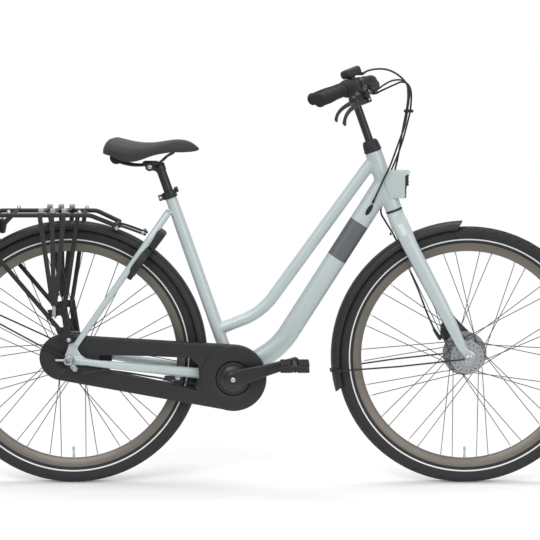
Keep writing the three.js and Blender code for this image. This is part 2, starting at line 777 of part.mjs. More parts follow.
// The chain: two rows of side plates that straddle the teeth, with pins across the straight runs
const linkHalfHeight = 4;
const linkInside = 1.9;
const linkOutside = 3.2;
const chainPinRadius = 1.8;
const pinEvery = 12;

const chainBand = (low, high) => {
  const [ringRear, ringFront] = [pitchRadius(sprocketTeeth), pitchRadius(chainringTeeth)];
  const outline = (extra) =>
    beltOutline(rearAxle, ringRear + extra, bottomBracket, ringFront + extra, caseArcSteps);
  return cut(
    plate(outline(linkHalfHeight), low, high),
    plate(outline(-linkHalfHeight), low - overrun, high + overrun),
  );
};
const chainPins = () => {
  const corners = beltOutline(
    rearAxle, pitchRadius(sprocketTeeth), bottomBracket, pitchRadius(chainringTeeth), 1,
  ).map(([x, z]) => vec(x, 0, z));
  const runs = [[corners[3], corners[0]], [corners[1], corners[2]]];
  return runs.flatMap(([from, to]) => {
    const count = Math.floor(from.distanceTo(to) / chainPitch / pinEvery);
    return Array.from({ length: count }, (_, i) => {
      const at = from.clone().lerp(to, (i + 0.5) / count);
      return rod(
        along(at, [sideways, -chainLine - linkInside - weld]),
        along(at, [sideways, -chainLine + linkInside + weld]),
        chainPinRadius,
        { sides: 6 },
      );
    });
  });
};
piece(bicycle, 'chain', join(
  chainBand(-chainLine - linkOutside, -chainLine - linkInside),
  chainBand(-chainLine + linkInside, -chainLine + linkOutside),
  chainPins(),
), steel);

// Bottom bracket and cranks; each crank has its pedal's spindle fixed in its end
const cupHalfLength = 36;
const cupRadius = 20;
const cartridgeRadius = 17.2;
const crankAxleRadius = 8.7;
const crankAxleHalfLength = 78;
const crankInner = 66.5;
const crankWall = 13.5;
const crankFlare = 10;
const crankSections = [
  [0, 22], [0.26, 21], [0.5, 16.5], [0.73, 14.7], [0.94, 13],
];
const eyeRadius = 14;
const bossRadius = 32;
const coverRadius = 35;
const coverWall = 3;
const leftBossRadius = 20;
const neckRadius = 18;
const spindleRadius = 6.5;
const spindleStart = 93.5;
const spindleEnd = 172;
const pedalHalfLength = 38.5;
const pedalHalfHeight = 11;
const pedalWidth = 92;
const treadWall = 5.5;
const treadHalfLength = 40;

piece(bicycle, 'bottom_bracket', turned([
  [crankAxleRadius + runningGap, -cupHalfLength], [cupRadius, -cupHalfLength],
  [cupRadius, -shellHalfLength - seatGap], [cartridgeRadius, -shellHalfLength - seatGap],
  [cartridgeRadius, shellHalfLength + seatGap], [cupRadius, shellHalfLength + seatGap],
  [cupRadius, cupHalfLength], [crankAxleRadius + runningGap, cupHalfLength],
], bottomBracket, sideways), steel);
piece(crankset, 'crank_axle', rod(
  along(bottomBracket, [sideways, -crankAxleHalfLength]),
  along(bottomBracket, [sideways, crankAxleHalfLength]),
  crankAxleRadius,
  { sides: 16 },
), steel);

// A crank's arm, from the boss to the pedal eye, on the right side (-1) or the left (1)
function crankArm(side) {
  const angle = side < 0 ? crankRestAngle : crankRestAngle + 180;
  const eye = round(bottomBracket, crankLength, angle);
  const out = eye.clone().sub(bottomBracket).normalize();
  const across = out.clone().cross(sideways);
  const middle = crankInner + crankWall / 2;
  const arm = loft(crankSections.map(([share, halfHeight]) => ring(
    along(bottomBracket, [out, share * crankLength], [sideways, side * (middle + share * crankFlare)]),
    across, halfHeight, sideways, crankWall / 2, 8,
  )));
  const eyeSide = middle + crankFlare;
  const eyeBody = rod(
    along(eye, [sideways, side * (eyeSide - crankWall / 2)]),
    along(eye, [sideways, side * (eyeSide + crankWall / 2)]),
    eyeRadius,
  );
  const spindle = rod(
    along(eye, [sideways, side * eyeSide]), along(eye, [sideways, side * spindleEnd]), spindleRadius,
    { sides: 10 },
  );
  return { eye, body: join(arm, eyeBody, spindle) };
}

const axleBore = rod(
  along(bottomBracket, [sideways, -crankAxleHalfLength - seatGap]),
  along(bottomBracket, [sideways, crankAxleHalfLength + seatGap]),
  crankAxleRadius + seatGap,
  { sides: 16 },
);
const rightArm = crankArm(-1);
const leftArm = crankArm(1);
const crankOuter = crankInner + crankWall;
const ringBoss = turned([
  [0, -crankOuter - coverWall], [coverRadius - coverWall, -crankOuter - coverWall],
  [coverRadius, -crankOuter], [bossRadius, -crankOuter], [bossRadius, -crankInner],
  [neckRadius, -crankInner], [neckRadius, -chainLine + toothWall], [0, -chainLine + toothWall],
], bottomBracket, sideways);
piece(crankset, 'right_crank', cut(
  join(toothed(bottomBracket, chainringTeeth), ringBoss, rightArm.body),
  axleBore,
), darkMetal);
const leftBoss = rod(
  along(bottomBracket, [sideways, crankInner]),
  along(bottomBracket, [sideways, crankOuter + coverWall]),
  leftBossRadius,
  { sides: turnedSides },
);
piece(crankset, 'left_crank', cut(join(leftBoss, leftArm.body), axleBore), darkMetal);

// A pedal: a body round the spindle between two rubber treads, level in any position of the crank
function pedal(side, eye) {
  const middle = along(eye, [sideways, side * (spindleStart + pedalWidth / 2)]);
  const up = vec(0, 0, 1);
  const forward = vec(1, 0, 0);
  const body = block(middle, [forward, pedalHalfLength * 0.9], [sideways, pedalWidth / 2], up, pedalHalfHeight * 0.7);
  const tread = (way) => block(
    along(middle, [up, way * (pedalHalfHeight - treadWall / 2)]),
    [forward, treadHalfLength], [sideways, pedalWidth / 2], up, treadWall / 2,
  );
  const bore = rod(
    along(eye, [sideways, side * (spindleStart - overrun)]),
    along(eye, [sideways, side * (spindleEnd + 2 * seatGap)]),
    spindleRadius + runningGap,
    { sides: 12 },
  );
  return cut(join(body, tread(1), tread(-1)), bore);
}
piece(nested(crankset, origin), 'right_pedal', pedal(-1, rightArm.eye), softBlack);
piece(nested(crankset, origin), 'left_pedal', pedal(1, leftArm.eye), softBlack);

// Fork: crown and steerer in one with two blades, given up the steering axis from the front axle's height.
// Each blade section is [up, forward, side, half its depth, half its width] in shares of the blade's sizes.
const bladeHeight = 432;
const bladeSpread = 53;
const bladeDepth = 43;
const bladeWidth = 25;
const bladeShares = [
  [0.105, 0.62, 1, 0.28, 0.28], [0.23, 0.6, 0.965, 0.38, 0.4], [0.39, 0.57, 0.925, 0.465, 0.44],
  [0.58, 0.4, 0.89, 0.5, 0.46], [0.785, 0.15, 0.84, 0.5, 0.48], [0.856, 0.09, 0.79, 0.5, 0.5],
  [0.926, 0.04, 0.566, 0.51, 0.52], [1, 0, 0.17, 0.49, 0.4],
];
const crownLow = 385;
const steererLow = 400;
const steererHigh = 611;
const quillLow = 500;
const plateRise = 60;
const plateFall = 12;
const plateHalfDepth = 11;

function forkBlade(side) {
  const blade = loft(bladeShares.map(([up, forward, out, halfDepth, halfWidth]) => ring(
    onSteer(forward * bladeSpread, side * out * bladeSpread, up * bladeHeight),
    steer.forward, halfDepth * bladeDepth, sideways, halfWidth * bladeWidth, 8,
  )));
  const middle = (frontSpacing + forkPlateWall) / 2;
  const foot = plate([
    onSteer(forkRake - plateHalfDepth, 0, -plateFall / 2), onSteer(forkRake, 0, -plateFall),
    onSteer(forkRake + plateHalfDepth, 0, -plateFall / 2), onSteer(forkRake + plateHalfDepth, 0, plateFall),
    onSteer(forkRake - plateHalfDepth, 0, plateRise), onSteer(forkRake - 3 * plateHalfDepth, 0, plateRise),
  ].map((p) => [p.x, p.z]), middle - forkPlateWall / 2, middle + forkPlateWall / 2);
  return [blade, side > 0 ? foot : foot.mirror([0, 1, 0])];
}

const steerer = turned([
  [0, steererLow], [steererRadius, steererLow], [steererRadius, steererHigh],
  [stemRadius + seatGap, steererHigh], [stemRadius + seatGap, quillLow - seatGap], [0, quillLow - seatGap],
], steerFoot, steer.up, { sides: 12 });
const crown = rod(onSteer(0, 0, crownLow), onSteer(0, 0, crownTop), headTubeRadius, { sides: turnedSides });
const tabUp = Math.sqrt(fenderRadius ** 2 - forkRake ** 2);
const crownTab = rod(onSteer(0, 0, tabUp + 1.2), onSteer(0, 0, crownLow + overrun), fenderTabRadius, { sides: 8 });
const frontAxleBore = rod(
  along(frontAxle, [sideways, -frontHalfOver - overrun]),
  along(frontAxle, [sideways, frontHalfOver + overrun]),
  axleRadius + seatGap,
);
piece(steering, 'fork', cut(join(steerer, crown, crownTab, forkBlade(-1), forkBlade(1)), frontAxleBore), framePaint);

// Stem: a quill in the steerer with a forward arm and a clamp round the handlebar
const quillTop = 757;
const barRadius = 11;
const barForward = 57;
const barUp = 771;
const clampRadius = 17;
const clampHalfWidth = 21;
const armRadius = 14;
const collarTop = 655;

const barBore = (barRadius + seatGap) / Math.cos(Math.PI / tubeSides);
const stemBore = rod(
  onSteer(barForward, -2 * clampHalfWidth, barUp), onSteer(barForward, 2 * clampHalfWidth, barUp),
  barBore,
);
piece(steering, 'stem', cut(join(
  rod(onSteer(0, 0, quillLow), onSteer(0, 0, quillTop), stemRadius),
  rod(onSteer(0, 0, quillTop - armRadius), onSteer(0, 0, quillTop + armRadius / 2), armRadius + overrun,
    { end: armRadius }),
  rod(onSteer(0, 0, quillTop - overrun), onSteer(barForward, 0, barUp), armRadius, { end: armRadius - overrun }),
  rod(onSteer(barForward, -clampHalfWidth, barUp), onSteer(barForward, clampHalfWidth, barUp), clampRadius,
    { sides: 16 }),
), stemBore), darkMetal);

// Handlebar: its ends sweep back beside the rider
const barEndBack = -97;
const barEndSide = 300;
const barEndUp = 787;
const barCornerForward = 55;
const barCornerSide = 105;
const barCornerUp = 791;
const barInnerSide = 55;
const barBendRadius = 60;

const barEnd = (side) => onSteer(barEndBack, side * barEndSide, barEndUp);
const barCorner = (side) => onSteer(barCornerForward, side * barCornerSide, barCornerUp);
const barMiddle = (side) => onSteer(barForward, side * barInnerSide, barUp);
piece(steering, 'handlebar', bentTube(
  [barEnd(-1), barCorner(-1), barMiddle(-1), barMiddle(1), barCorner(1), barEnd(1)],
  barRadius,
  barBendRadius,
  { sides: 10, bendSteps: 3 },
), blackPaint);

// Directions and places on a grip: along the bar from its end, ahead of it and over it
const inward = (side) => barCorner(side).sub(barEnd(side)).normalize();
const over = (side) => steer.up.clone().addScaledVector(inward(side), -steer.up.dot(inward(side))).normalize();
const ahead = (side) => inward(side).cross(over(side)).multiplyScalar(side);
const onBar = (side, distance, forward = 0, up = 0) =>
  along(barEnd(side), [inward(side), distance], [ahead(side), forward], [over(side), up]);

// Grips, closed over the bar's ends; the right one is short, for the twist grip beside it
const gripRadius = 15.6;
const palmRadius = 17.5;
const gripEnd = 6;
const leftGripLength = 150;
const rightGripLength = 106;

function grip(side, length) {
  return turned([
    [0, -gripEnd], [gripRadius - overrun, -gripEnd], [gripRadius, -gripEnd / 2], [palmRadius, length * 0.3],
    [gripRadius, length * 0.65], [gripRadius, length - overrun], [gripRadius - overrun, length],
    [barBore, length], [barBore, -seatGap], [0, -seatGap],
  ], barEnd(side), inward(side), { sides: tubeSides });
}
piece(steering, 'left_grip', grip(1, leftGripLength), softBlack);
piece(steering, 'right_grip', grip(-1, rightGripLength), softBlack);

const twistGap = 1;
const twistLength = 42;
const twistRadius = 23;
const twistFlare = 0.35;
const housingLength = 17;
const twistStart = rightGripLength + twistGap;
const housingStart = twistStart + twistLength + twistGap;
const turnBore = barBore;
const twistGroup = nested(steering, origin);
piece(twistGroup, 'twist_grip', turned([
  [turnBore, twistStart], [palmRadius, twistStart], [twistRadius, twistStart + twistFlare * twistLength],
  [twistRadius, twistStart + twistLength * (1 - twistFlare)], [palmRadius, twistStart + twistLength],
  [turnBore, twistStart + twistLength],
], barEnd(-1), inward(-1), { sides: 16 }), softBlack);

// Gear indicator: a box over the bar on the twist grip's fixed ring
const indicatorHalf = { along: 31, deep: 15, high: 11 };
const indicatorRise = 34;
const housingMiddle = housingStart + housingLength / 2;
const neckHalf = 7;
const housing = rod(onBar(-1, housingStart), onBar(-1, housingStart + housingLength), clampRadius, { sides: 12 });
const neck = rod(onBar(-1, housingMiddle), onBar(-1, housingMiddle, 0, indicatorRise), neckHalf, { sides: 8 });
const indicator = block(
  onBar(-1, housingMiddle + neckHalf, 0, indicatorRise),
  [inward(-1), indicatorHalf.along], [over(-1), indicatorHalf.high], ahead(-1), indicatorHalf.deep,
);
const barTunnel = (side, radius = barBore) =>
  rod(onBar(side, housingStart - overrun), onBar(side, leftGripLength * 1.4), radius);
piece(steering, 'shift_indicator', cut(join(housing, neck, indicator), barTunnel(-1)), blackPlastic);

// Brake levers: each turns on a pin between the two cheeks of its perch and hangs below the grip
const perchStart = 172;
const perchLength = 14;
const leverDistance = 213;
const leverAhead = 13.6;
const leverDrop = -48;
const perchBodyRise = 18;
const perchBodyRadius = 8;
const barrelDistance = 262;
const barrelRadius = 5;
const eyeHalfWidth = 4;
const leverEyeRadius = 7;
const cheekWall = 3;
const cheekHalfLength = 8;
const leverPinRadius = 2.5;
const bladeHalf = 4.5;
const leverPath = [
  [208, 13.6, -50, 0.9], [190, 13.5, -53, 1], [158, 12, -54, 1], [124, 11, -55.5, 0.9],
  [92, 9, -61, 0.85], [68, 7.5, -76, 0.9], [60, 7, -82, 1.1],
];

for (const [side, name] of [[1, 'left'], [-1, 'right']]) {
  const pivot = onBar(side, leverDistance, leverAhead, leverDrop);
  const [u, n, v] = [inward(side), ahead(side), over(side)];
  const bodyAt = along(pivot, [v, perchBodyRise]);
  const cheeks = [-1, 1].map((way) => block(
    along(pivot, [n, way * (eyeHalfWidth + seatGap + cheekWall / 2)], [v, perchBodyRise / 2 - cheekHalfLength / 2]),
    [u, cheekHalfLength], [v, perchBodyRise / 2 + cheekHalfLength / 2], n, cheekWall / 2,
  ));
  const pinReach = eyeHalfWidth + cheekWall;
  piece(steering, `${name}_lever_perch`, cut(join(
    rod(onBar(side, perchStart), onBar(side, perchStart + perchLength), clampRadius, { sides: 12 }),
    rod(onBar(side, perchStart + perchLength / 2, clampRadius / 2), bodyAt, perchBodyRadius, { sides: 10 }),
    rod(bodyAt, onBar(side, barrelDistance, leverAhead, leverDrop + perchBodyRise / 2), barrelRadius + overrun,
      { end: barrelRadius, sides: 8 }),
    cheeks,
    rod(along(pivot, [n, -pinReach]), along(pivot, [n, pinReach]), leverPinRadius, { sides: 8 }),
  ), barTunnel(side)), darkMetal);

  const eye = rod(
    along(pivot, [n, -eyeHalfWidth]), along(pivot, [n, eyeHalfWidth]), leverEyeRadius, { sides: 14 },
  );
  const blade = loft(leverPath.map(([distance, forward, up, size]) =>
    ring(onBar(side, distance, forward, up), n, size * bladeHalf, v, size * bladeHalf, 6)));
  const hole = rod(
    along(pivot, [n, -2 * eyeHalfWidth]), along(pivot, [n, 2 * eyeHalfWidth]), leverPinRadius + runningGap,
    { sides: 10 },
  );
  piece(nested(steering, origin), `${name}_brake_lever`, cut(join(eye, blade), hole), darkMetal);
}

// Fenders: an arched sheet with its edges turned down, round each tyre
const fenderSteps = { front: 11, rear: 23 };
const fenderShares = [[1, 0.4], [1, 0.26], [0.66, 0.06], [0, 0]];
const fenderDepth = 55;

function fenderSection() {
  const outer = fenderShares.map(([out, down]) => [(out * fenderWidth) / 2, -down * fenderDepth]);
  const inner = outer.map(([out, down]) => [out > 0 ? out - fenderWall : 0, down < -2 * fenderWall ? down : down - fenderWall]);
  const mirrored = (points) => points.slice(0, -1).reverse().map(([out, down]) => [-out, down]);
  return [...outer, ...mirrored(outer), ...mirrored(inner).reverse(), ...inner.reverse()];
}
const fender = (centre, [from, to], steps) =>
  sweep(fenderSection(), new Arc(centre, fenderRadius, from, to), steps);

const frontFenderAngles = [92, 196];
const rearFenderAngles = [5, 205];
piece(steering, 'front_fender', fender(frontAxle, frontFenderAngles, fenderSteps.front), blackPlastic);
piece(bicycle, 'rear_fender', fender(rearAxle, rearFenderAngles, fenderSteps.rear), blackPlastic);

// Fender stays: a wire over the outside of the fender, down to an eye on each end of the axle
const stayRadius = 2.2;
const stayShoulder = 335;
const stayRearBend = 95;
const stayBend = 9;

function fenderStay(centre, angle, halfOver, kneeRadius) {
  const eyeSide = halfOver + seatGap + washerWall / 2;
  const wireSide = fenderWidth / 2 + stayRadius + 2 * runningGap;
  const topRadius = fenderRadius + stayRadius + seatGap;
  const half = [
    [washerRadius - stayRadius, eyeSide], [kneeRadius, eyeSide - runningGap], [stayShoulder, wireSide],
    [topRadius - stayBend, wireSide], [topRadius, wireSide - 1.4 * stayBend],
  ];
  const corners = [
    ...half.map(([radius, side]) => round(centre, radius, angle, -side)),
    ...half.toReversed().map(([radius, side]) => round(centre, radius, angle, side)),
  ];
  const eyes = [-1, 1].map((side) => turned([
    [axleRadius + seatGap, -washerWall / 2], [washerRadius, -washerWall / 2],
    [washerRadius, washerWall / 2], [axleRadius + seatGap, washerWall / 2],
  ], along(centre, [sideways, side * eyeSide]), sideways, { sides: 10 }));
  return join(bentTube(corners, stayRadius, 0, { sides: 6, bendSteps: 0 }), eyes);
}
const frontStayAngle = 186.3;
const rearStayAngle = 153.1;
piece(steering, 'front_fender_stay', fenderStay(frontAxle, frontStayAngle, frontHalfOver, 2 * stayRearBend), steel);
piece(bicycle, 'rear_fender_stay', fenderStay(rearAxle, rearStayAngle, rearHalfOver, stayRearBend), steel);

// Roller brakes: a unit beside each cooling disc, held by an arm, with a cam lever that the cable pulls
const unitRadius = 33;
const frontUnit = [35.5, 46.5];
const frontArmSides = [36, 39];
const frontCamSides = [39.6, 44];
const rearUnit = [44.6, 55];
const rearArmSides = [52, 55];
const rearCamSides = [55.6, 60];
const camRadius = 9;
const camPinRadius = 3;
const camLength = 44;
const camTipRadius = 4.5;
const frontArmShares = [
  [-0.3, 0.5], [-1.2, 0.7], [-2, 1.3], [-2, 2.2], [-1.6, 3.1], [-0.9, 3.15], [-0.3, 2.2], [0, 1.2], [0.4, 0.6],
];
const rearArmShares = [[0.3, 0.85], [3.1, -0.05], [3.1, -0.75], [0.8, -1.15], [0.2, -0.8]];

function brake(centre, unit, armShares, armSides, camAt, camSides) {
  const arm = plate(armShares.map(([x, z]) => [centre.x + x * unitRadius, centre.z + z * unitRadius]), ...armSides);
  const body = turned([
    [axleRadius + seatGap, unit[0]], [unitRadius, unit[0]], [unitRadius, unit[1] - overrun],
    [unitRadius - overrun, unit[1]], [axleRadius + seatGap, unit[1]],
  ], centre, sideways);
  const pin = rod(
    along(camAt, [sideways, armSides[1] - weld]), along(camAt, [sideways, camSides[1]]), camPinRadius,
    { sides: 8 },
  );
  return join(body, arm, pin);
}
function cam(camAt, [low, high], angle) {
  const tip = round(camAt, camLength, angle);
  const hub = rod(along(camAt, [sideways, low]), along(camAt, [sideways, high]), camRadius, { sides: 12 });
  const middle = (low + high) / 2;
  const lever = loft([0, 1].map((share) => ring(
    along(camAt.clone().lerp(tip, share), [sideways, middle]),
    tip.clone().sub(camAt).cross(sideways).normalize(),
    THREE.MathUtils.lerp(camRadius, camTipRadius, share), sideways, (high - low) / 2, 4,
  )));
  const bore = rod(
    along(camAt, [sideways, low - overrun]), along(camAt, [sideways, high + overrun]),
    camPinRadius + runningGap, { sides: 10 },
  );
  return cut(join(hub, lever), bore);
}
const frontCamAt = along(frontAxle, [vec(-28, 0, 34), 1]);
const rearCamAt = along(rearAxle, [vec(20, 0, -36), 1]);
const frontCamAngle = 163;
const rearCamAngle = -62;
piece(steering, 'front_brake_arm',
  brake(frontAxle, frontUnit, frontArmShares, frontArmSides, frontCamAt, frontCamSides), darkMetal);
piece(nested(steering, origin), 'front_brake_cam', cam(frontCamAt, frontCamSides, frontCamAngle), steel);
piece(bicycle, 'rear_brake_arm',
  brake(rearAxle, rearUnit, rearArmShares, rearArmSides, rearCamAt, rearCamSides), darkMetal);
piece(nested(bicycle, origin), 'rear_brake_cam', cam(rearCamAt, rearCamSides, rearCamAngle), steel);

// Bell crank: it turns on the right end of the rear axle and shifts the gears inside the hub
const bellInner = -(rearHalfOver + washerWall + nutHeight + 3 * seatGap);
const bellOuter = bellInner - 12;
const bellRadius = 10;
const bellArmRadius = 6;
const bellArmLength = 42;
const bellAngle = -57;
const bellBore = rod(
  along(rearAxle, [sideways, bellInner + overrun]),
  along(rearAxle, [sideways, bellInner - axleEnd - runningGap]),
  axleRadius + runningGap, { sides: 10 },
);
const bellMiddle = along(rearAxle, [sideways, (bellInner + bellOuter) / 2]);
piece(nested(bicycle, origin), 'bell_crank', cut(join(
  rod(along(rearAxle, [sideways, bellInner]), along(rearAxle, [sideways, bellOuter]), bellRadius, { sides: 12 }),
  rod(bellMiddle, round(bellMiddle, bellArmLength, bellAngle), bellArmRadius, { sides: 10 }),
), bellBore), steel);

// Seatpost with its clamp, and the collar that grips it in the seat tube
const seatPostLow = 330;
const seatPostHigh = 600;
const collarLow = 494;
const collarHigh = 517;
const collarRadius = 20.5;
const collarLug = 9;
const boltRadius = 3;
piece(bicycle, 'seat_clamp', cut(join(
  rod(onSeat(0, 0, collarLow), onSeat(0, 0, collarHigh), collarRadius, { sides: turnedSides }),
  block(onSeat(-collarRadius - collarLug / 2, 0, (collarLow + collarHigh) / 2),
    [seat.forward, collarLug], [sideways, collarLug], seat.up, (collarHigh - collarLow) / 2 - overrun),
  rod(
    onSeat(-collarRadius - collarLug / 2, -collarLug - 2 * overrun, (collarLow + collarHigh) / 2),
    onSeat(-collarRadius - collarLug / 2, collarLug + overrun, (collarLow + collarHigh) / 2),
    boltRadius, { sides: 8 },
  ),
), [
  rod(onSeat(0, 0, collarLow - overrun), onSeat(0, 0, seatTubeLength), seatTubeRadius + seatGap, { sides: 16 }),
  rod(onSeat(0, 0, collarLow), onSeat(0, 0, collarHigh + overrun), seatPostRadius + seatGap, { sides: 16 }),
]), blackPaint);

const seatGroup = nested(bicycle, origin);
piece(seatGroup, 'seatpost', rod(
  onSeat(0, 0, seatPostLow), onSeat(0, 0, seatPostHigh), seatPostRadius, { sides: 16 },
), darkMetal);

// Saddle clamp: a sleeve on the post with a cross barrel that holds the two rails
const sleeveLow = 566;
const sleeveHigh = 604;
const clampSleeveRadius = 17;
const barrelAt = vec(217, 0, 866);
const railSide = 22;
const railRadius = 3.5;
const railClampRadius = 13;
const railClampHalfWidth = 30;
const railPath = (side) => [
  [278, 9, 899], [262, 15, 890], [240, 21, 872], [200, 22, 866], [160, 26, 866], [133, 34, 868], [118, 36, 866],
].map(([x, y, z]) => vec(x, side * y, z));
const rails = [-1, 1].map((side) => bentTube(railPath(side), railRadius, 0, { sides: 6, bendSteps: 0 }));
const railTunnels = [-1, 1].map((side) => bentTube(railPath(side), railRadius + 2 * seatGap, 0, { sides: 6, bendSteps: 0 }));
piece(seatGroup, 'saddle_clamp', cut(join(
  rod(onSeat(0, 0, sleeveLow), onSeat(0, 0, sleeveHigh), clampSleeveRadius, { sides: 14 }),
  rod(
    along(barrelAt, [sideways, -railClampHalfWidth]), along(barrelAt, [sideways, railClampHalfWidth]),
    railClampRadius, { sides: 14 },
  ),
), rod(onSeat(0, 0, sleeveLow - overrun), onSeat(0, 0, sleeveHigh + overrun), seatPostRadius + seatGap, { sides: 16 }),
railTunnels), darkMetal);

// Rails, joined under the nose and at the back, with two round elastomer springs
const springRadius = 13;
const springHalfWidth = 9;
const springForward = 130;
const springUp = 882;
const crossRadius = 3.8;
const crossTies = [[278, 899, 9], [118, 866, 36]];
piece(seatGroup, 'saddle_rails', join(
  rails,
  crossTies.map(([x, z, y]) => rod(vec(x, -y, z), vec(x, y, z), crossRadius, { sides: 8 })),
  [-1, 1].map((side) => rod(
    vec(springForward, side * (34 - springHalfWidth), springUp),
    vec(springForward, side * (34 + springHalfWidth), springUp),
    springRadius, { sides: 12 },
  )),
), steel);

// Saddle: sections from the back to the nose, each [forward, top, edge, underside, half width]
const saddleSections = [
  [90, 914, 905, 895, 52], [100, 929, 910, 892, 82], [122, 938, 908, 886, 97], [155, 931, 902, 884, 101],
  [194, 924, 903, 890, 86], [230, 926, 908, 899, 58], [262, 931, 915, 904, 40], [292, 932, 918, 905, 31],
  [322, 925, 914, 903, 25], [340, 917, 910, 903, 17], [348, 911, 907, 903, 9],
];
const saddleShape = [
  [0, 0.93], [0.5, 1], [0.82, 0.75], [1, 0], [0.93, -0.85], [0.6, -1], [0, -1],
];
const saddleRing = ([x, top, edge, under, half]) => {
  const side = saddleShape.map(([out, up]) => vec(x, out * half, edge + (up > 0 ? up * (top - edge) : -up * (under - edge))));
  const mirrored = side.slice(1, -1).reverse().map((p) => vec(p.x, -p.y, p.z));
  return [...side, ...mirrored];
};
const saddle = loft(saddleSections.map(saddleRing));
piece(seatGroup, 'saddle_cover', cut(saddle, [
  ...[-1, 1].map((side) => rod(
    vec(springForward, side * (34 - springHalfWidth - seatGap), springUp),
    vec(springForward, side * (34 + springHalfWidth + seatGap), springUp),
    springRadius + seatGap, { sides: 12 },
  )),
  ...railTunnels,
  rod(vec(278, -9 - seatGap, 899), vec(278, 9 + seatGap, 899), crossRadius + seatGap, { sides: 8 }),
  block(vec(286, 0, 886), [vec(1, 0, 0), 26], [sideways, 15], vec(0, 0, 1), 20),
]), softBlack);

// Rear rack: each rail bends round at the back and returns as the strut to the dropout
const rackSide = 80;
const rackUp = 738;
const rackTubeRadius = 6;
const rackBend = 38;
const rackTop = [[129, 60, 709], [63, 80, 738], [-274, 80, 738], [-19, 80, 430]];
const rackStrut = [[31, 80, 736], [18, 80, 654], [-1, 80, 534], [-11, 80, 480]];
const rackStrutRadius = 5;
const rackBars = [-150, -55, 36];
const rackBarRadius = 4;
const bracketSides = [-80, -76];
const bracketOutline = [[-54, 486], [-1, 494], [12, 404], [2, 396], [-10, 402], [-24, 414]];
const bracketWindow = [[-44, 468], [-16, 472], [-12, 440], [-27, 440]];
const rackBoltAt = [2, 406];
const frontStayPath = [[126, 27, 708], [140, 27, 706], [204, 30, 680]];
const frontStayRadius = 4.5;

function rackHalf(side) {
  const at = ([x, y, z]) => vec(x, side * y, z);
  const [rail, strut, stay] = [rackTop, rackStrut, frontStayPath].map((path) => path.map(at));
  const bracket = cut(plate(bracketOutline, ...bracketSides), plate(bracketWindow, -rackSide - overrun, 0));
  const bolt = rod(
    vec(rackBoltAt[0], bracketSides[0] - overrun, rackBoltAt[1]),
    vec(rackBoltAt[0], -rearHalfOver - seatGap, rackBoltAt[1]),
    rackBarRadius, { sides: 8 },
  );
  return [
    bentTube(rail, rackTubeRadius, rackBend, { sides: 7, bendSteps: 4 }),
    bentTube(strut, rackStrutRadius, 0, { sides: 6, bendSteps: 0 }),
    bentTube(stay, frontStayRadius, 0, { sides: 6, bendSteps: 0 }),
    ...[bracket, bolt].map((body) => (side < 0 ? body : body.mirror([0, 1, 0]))),
  ];
}
piece(bicycle, 'rack', join(
  rackHalf(-1), rackHalf(1),
  rackBars.map((x) => rod(vec(x, -rackSide, rackUp), vec(x, rackSide, rackUp), rackBarRadius, { sides: 6 })),
  box(vec(118, -60, 704), vec(130, 60, 712)),
), blackPaint);

// Rear lamp, hung under the back of the rack
const lampBracket = [[-146, 733.7], [-156, 733.7], [-186, 716], [-186, 684], [-176, 684], [-172, 706]];
piece(bicycle, 'rear_lamp', join(
  plate(lampBracket, -14, 14),
  box(vec(-206, -38, 688), vec(-185, 38, 722)),
), lensRed);

// Elastic straps over the rack, gathered at a buckle with a hook on each side
const strapTops = [[-70, -46], [-40, -35], [-10, -24]];
const strapHalfWidth = 6;
const strapWall = 2;
const strapUp = 744.5;
const strapSide = 86.6;
const buckleUp = 532;
const buckleSpread = 15;
const strapLow = 470;

const strapBand = ([top, low]) => {
  const half = [[0, 1], [1, 1]];
  const rings = (points) => loft(points.map(([x, y, z, nx, nz]) => [
    vec(x - strapHalfWidth, y, z), vec(x + strapHalfWidth, y, z),
    vec(x + strapHalfWidth, y + nx * strapWall, z + nz * strapWall),
    vec(x - strapHalfWidth, y + nx * strapWall, z + nz * strapWall),
  ]));
  return rings([
    [low, -strapSide, buckleUp, -1, 0], [top, -strapSide, strapUp, -1, 1],
    [top, strapSide, strapUp, 1, 1], [low, strapSide, buckleUp, 1, 0],
  ]);
};
const strapEnd = (side) => {
  const sides = [side * strapSide, side * (strapSide + 1.5 * strapWall)].sort((a, b) => a - b);
  return [
    plate([[-54, buckleUp - 8], [-54, buckleUp + 2], [-15, buckleUp + 2], [-15, buckleUp - 8],
      [-26, strapLow + 26], [-40, strapLow + 26]], ...sides),
    rod(vec(-33, sides[0] + strapWall, strapLow + 28), vec(-33, sides[0] + strapWall, strapLow), strapWall, { sides: 6 }),
  ];
};
piece(bicycle, 'rack_straps', join(strapTops.map(strapBand), strapEnd(-1), strapEnd(1)), softBlack);

// Ring lock: a horseshoe round the wheel in front of the seat stays; its shackle slides round inside
const lockAngle = 53.1;
const lockCentreRadius = 318;
const lockInner = 51;
const lockOuter = 64;
const lockBack = 6;
const lockFront = 14;
const lockGapHalf = 32;
const lockHousingTop = 417;
const lockHousingHalf = 46;
const shackleRadius = 4;
const shackleMid = (lockInner + lockOuter) / 2;
const lockOut = round(origin, 1, lockAngle);
const lockAhead = lockOut.clone().cross(sideways).negate();
const lockCentre = along(rearAxle, [lockOut, lockCentreRadius]);
const lockMiddle = (lockBack - lockFront) / 2;
const lugOut = 38;
const lugSide = 46;
const lugHalf = 9;
const lugReach = 11;
const knobRadius = 2.8;
const knobReach = 12;
const shackleStart = 35.5;
const shackleEnd = 123;
const knobAngle = 118;
const slotHalf = 3.4;
const lockSides = 24;

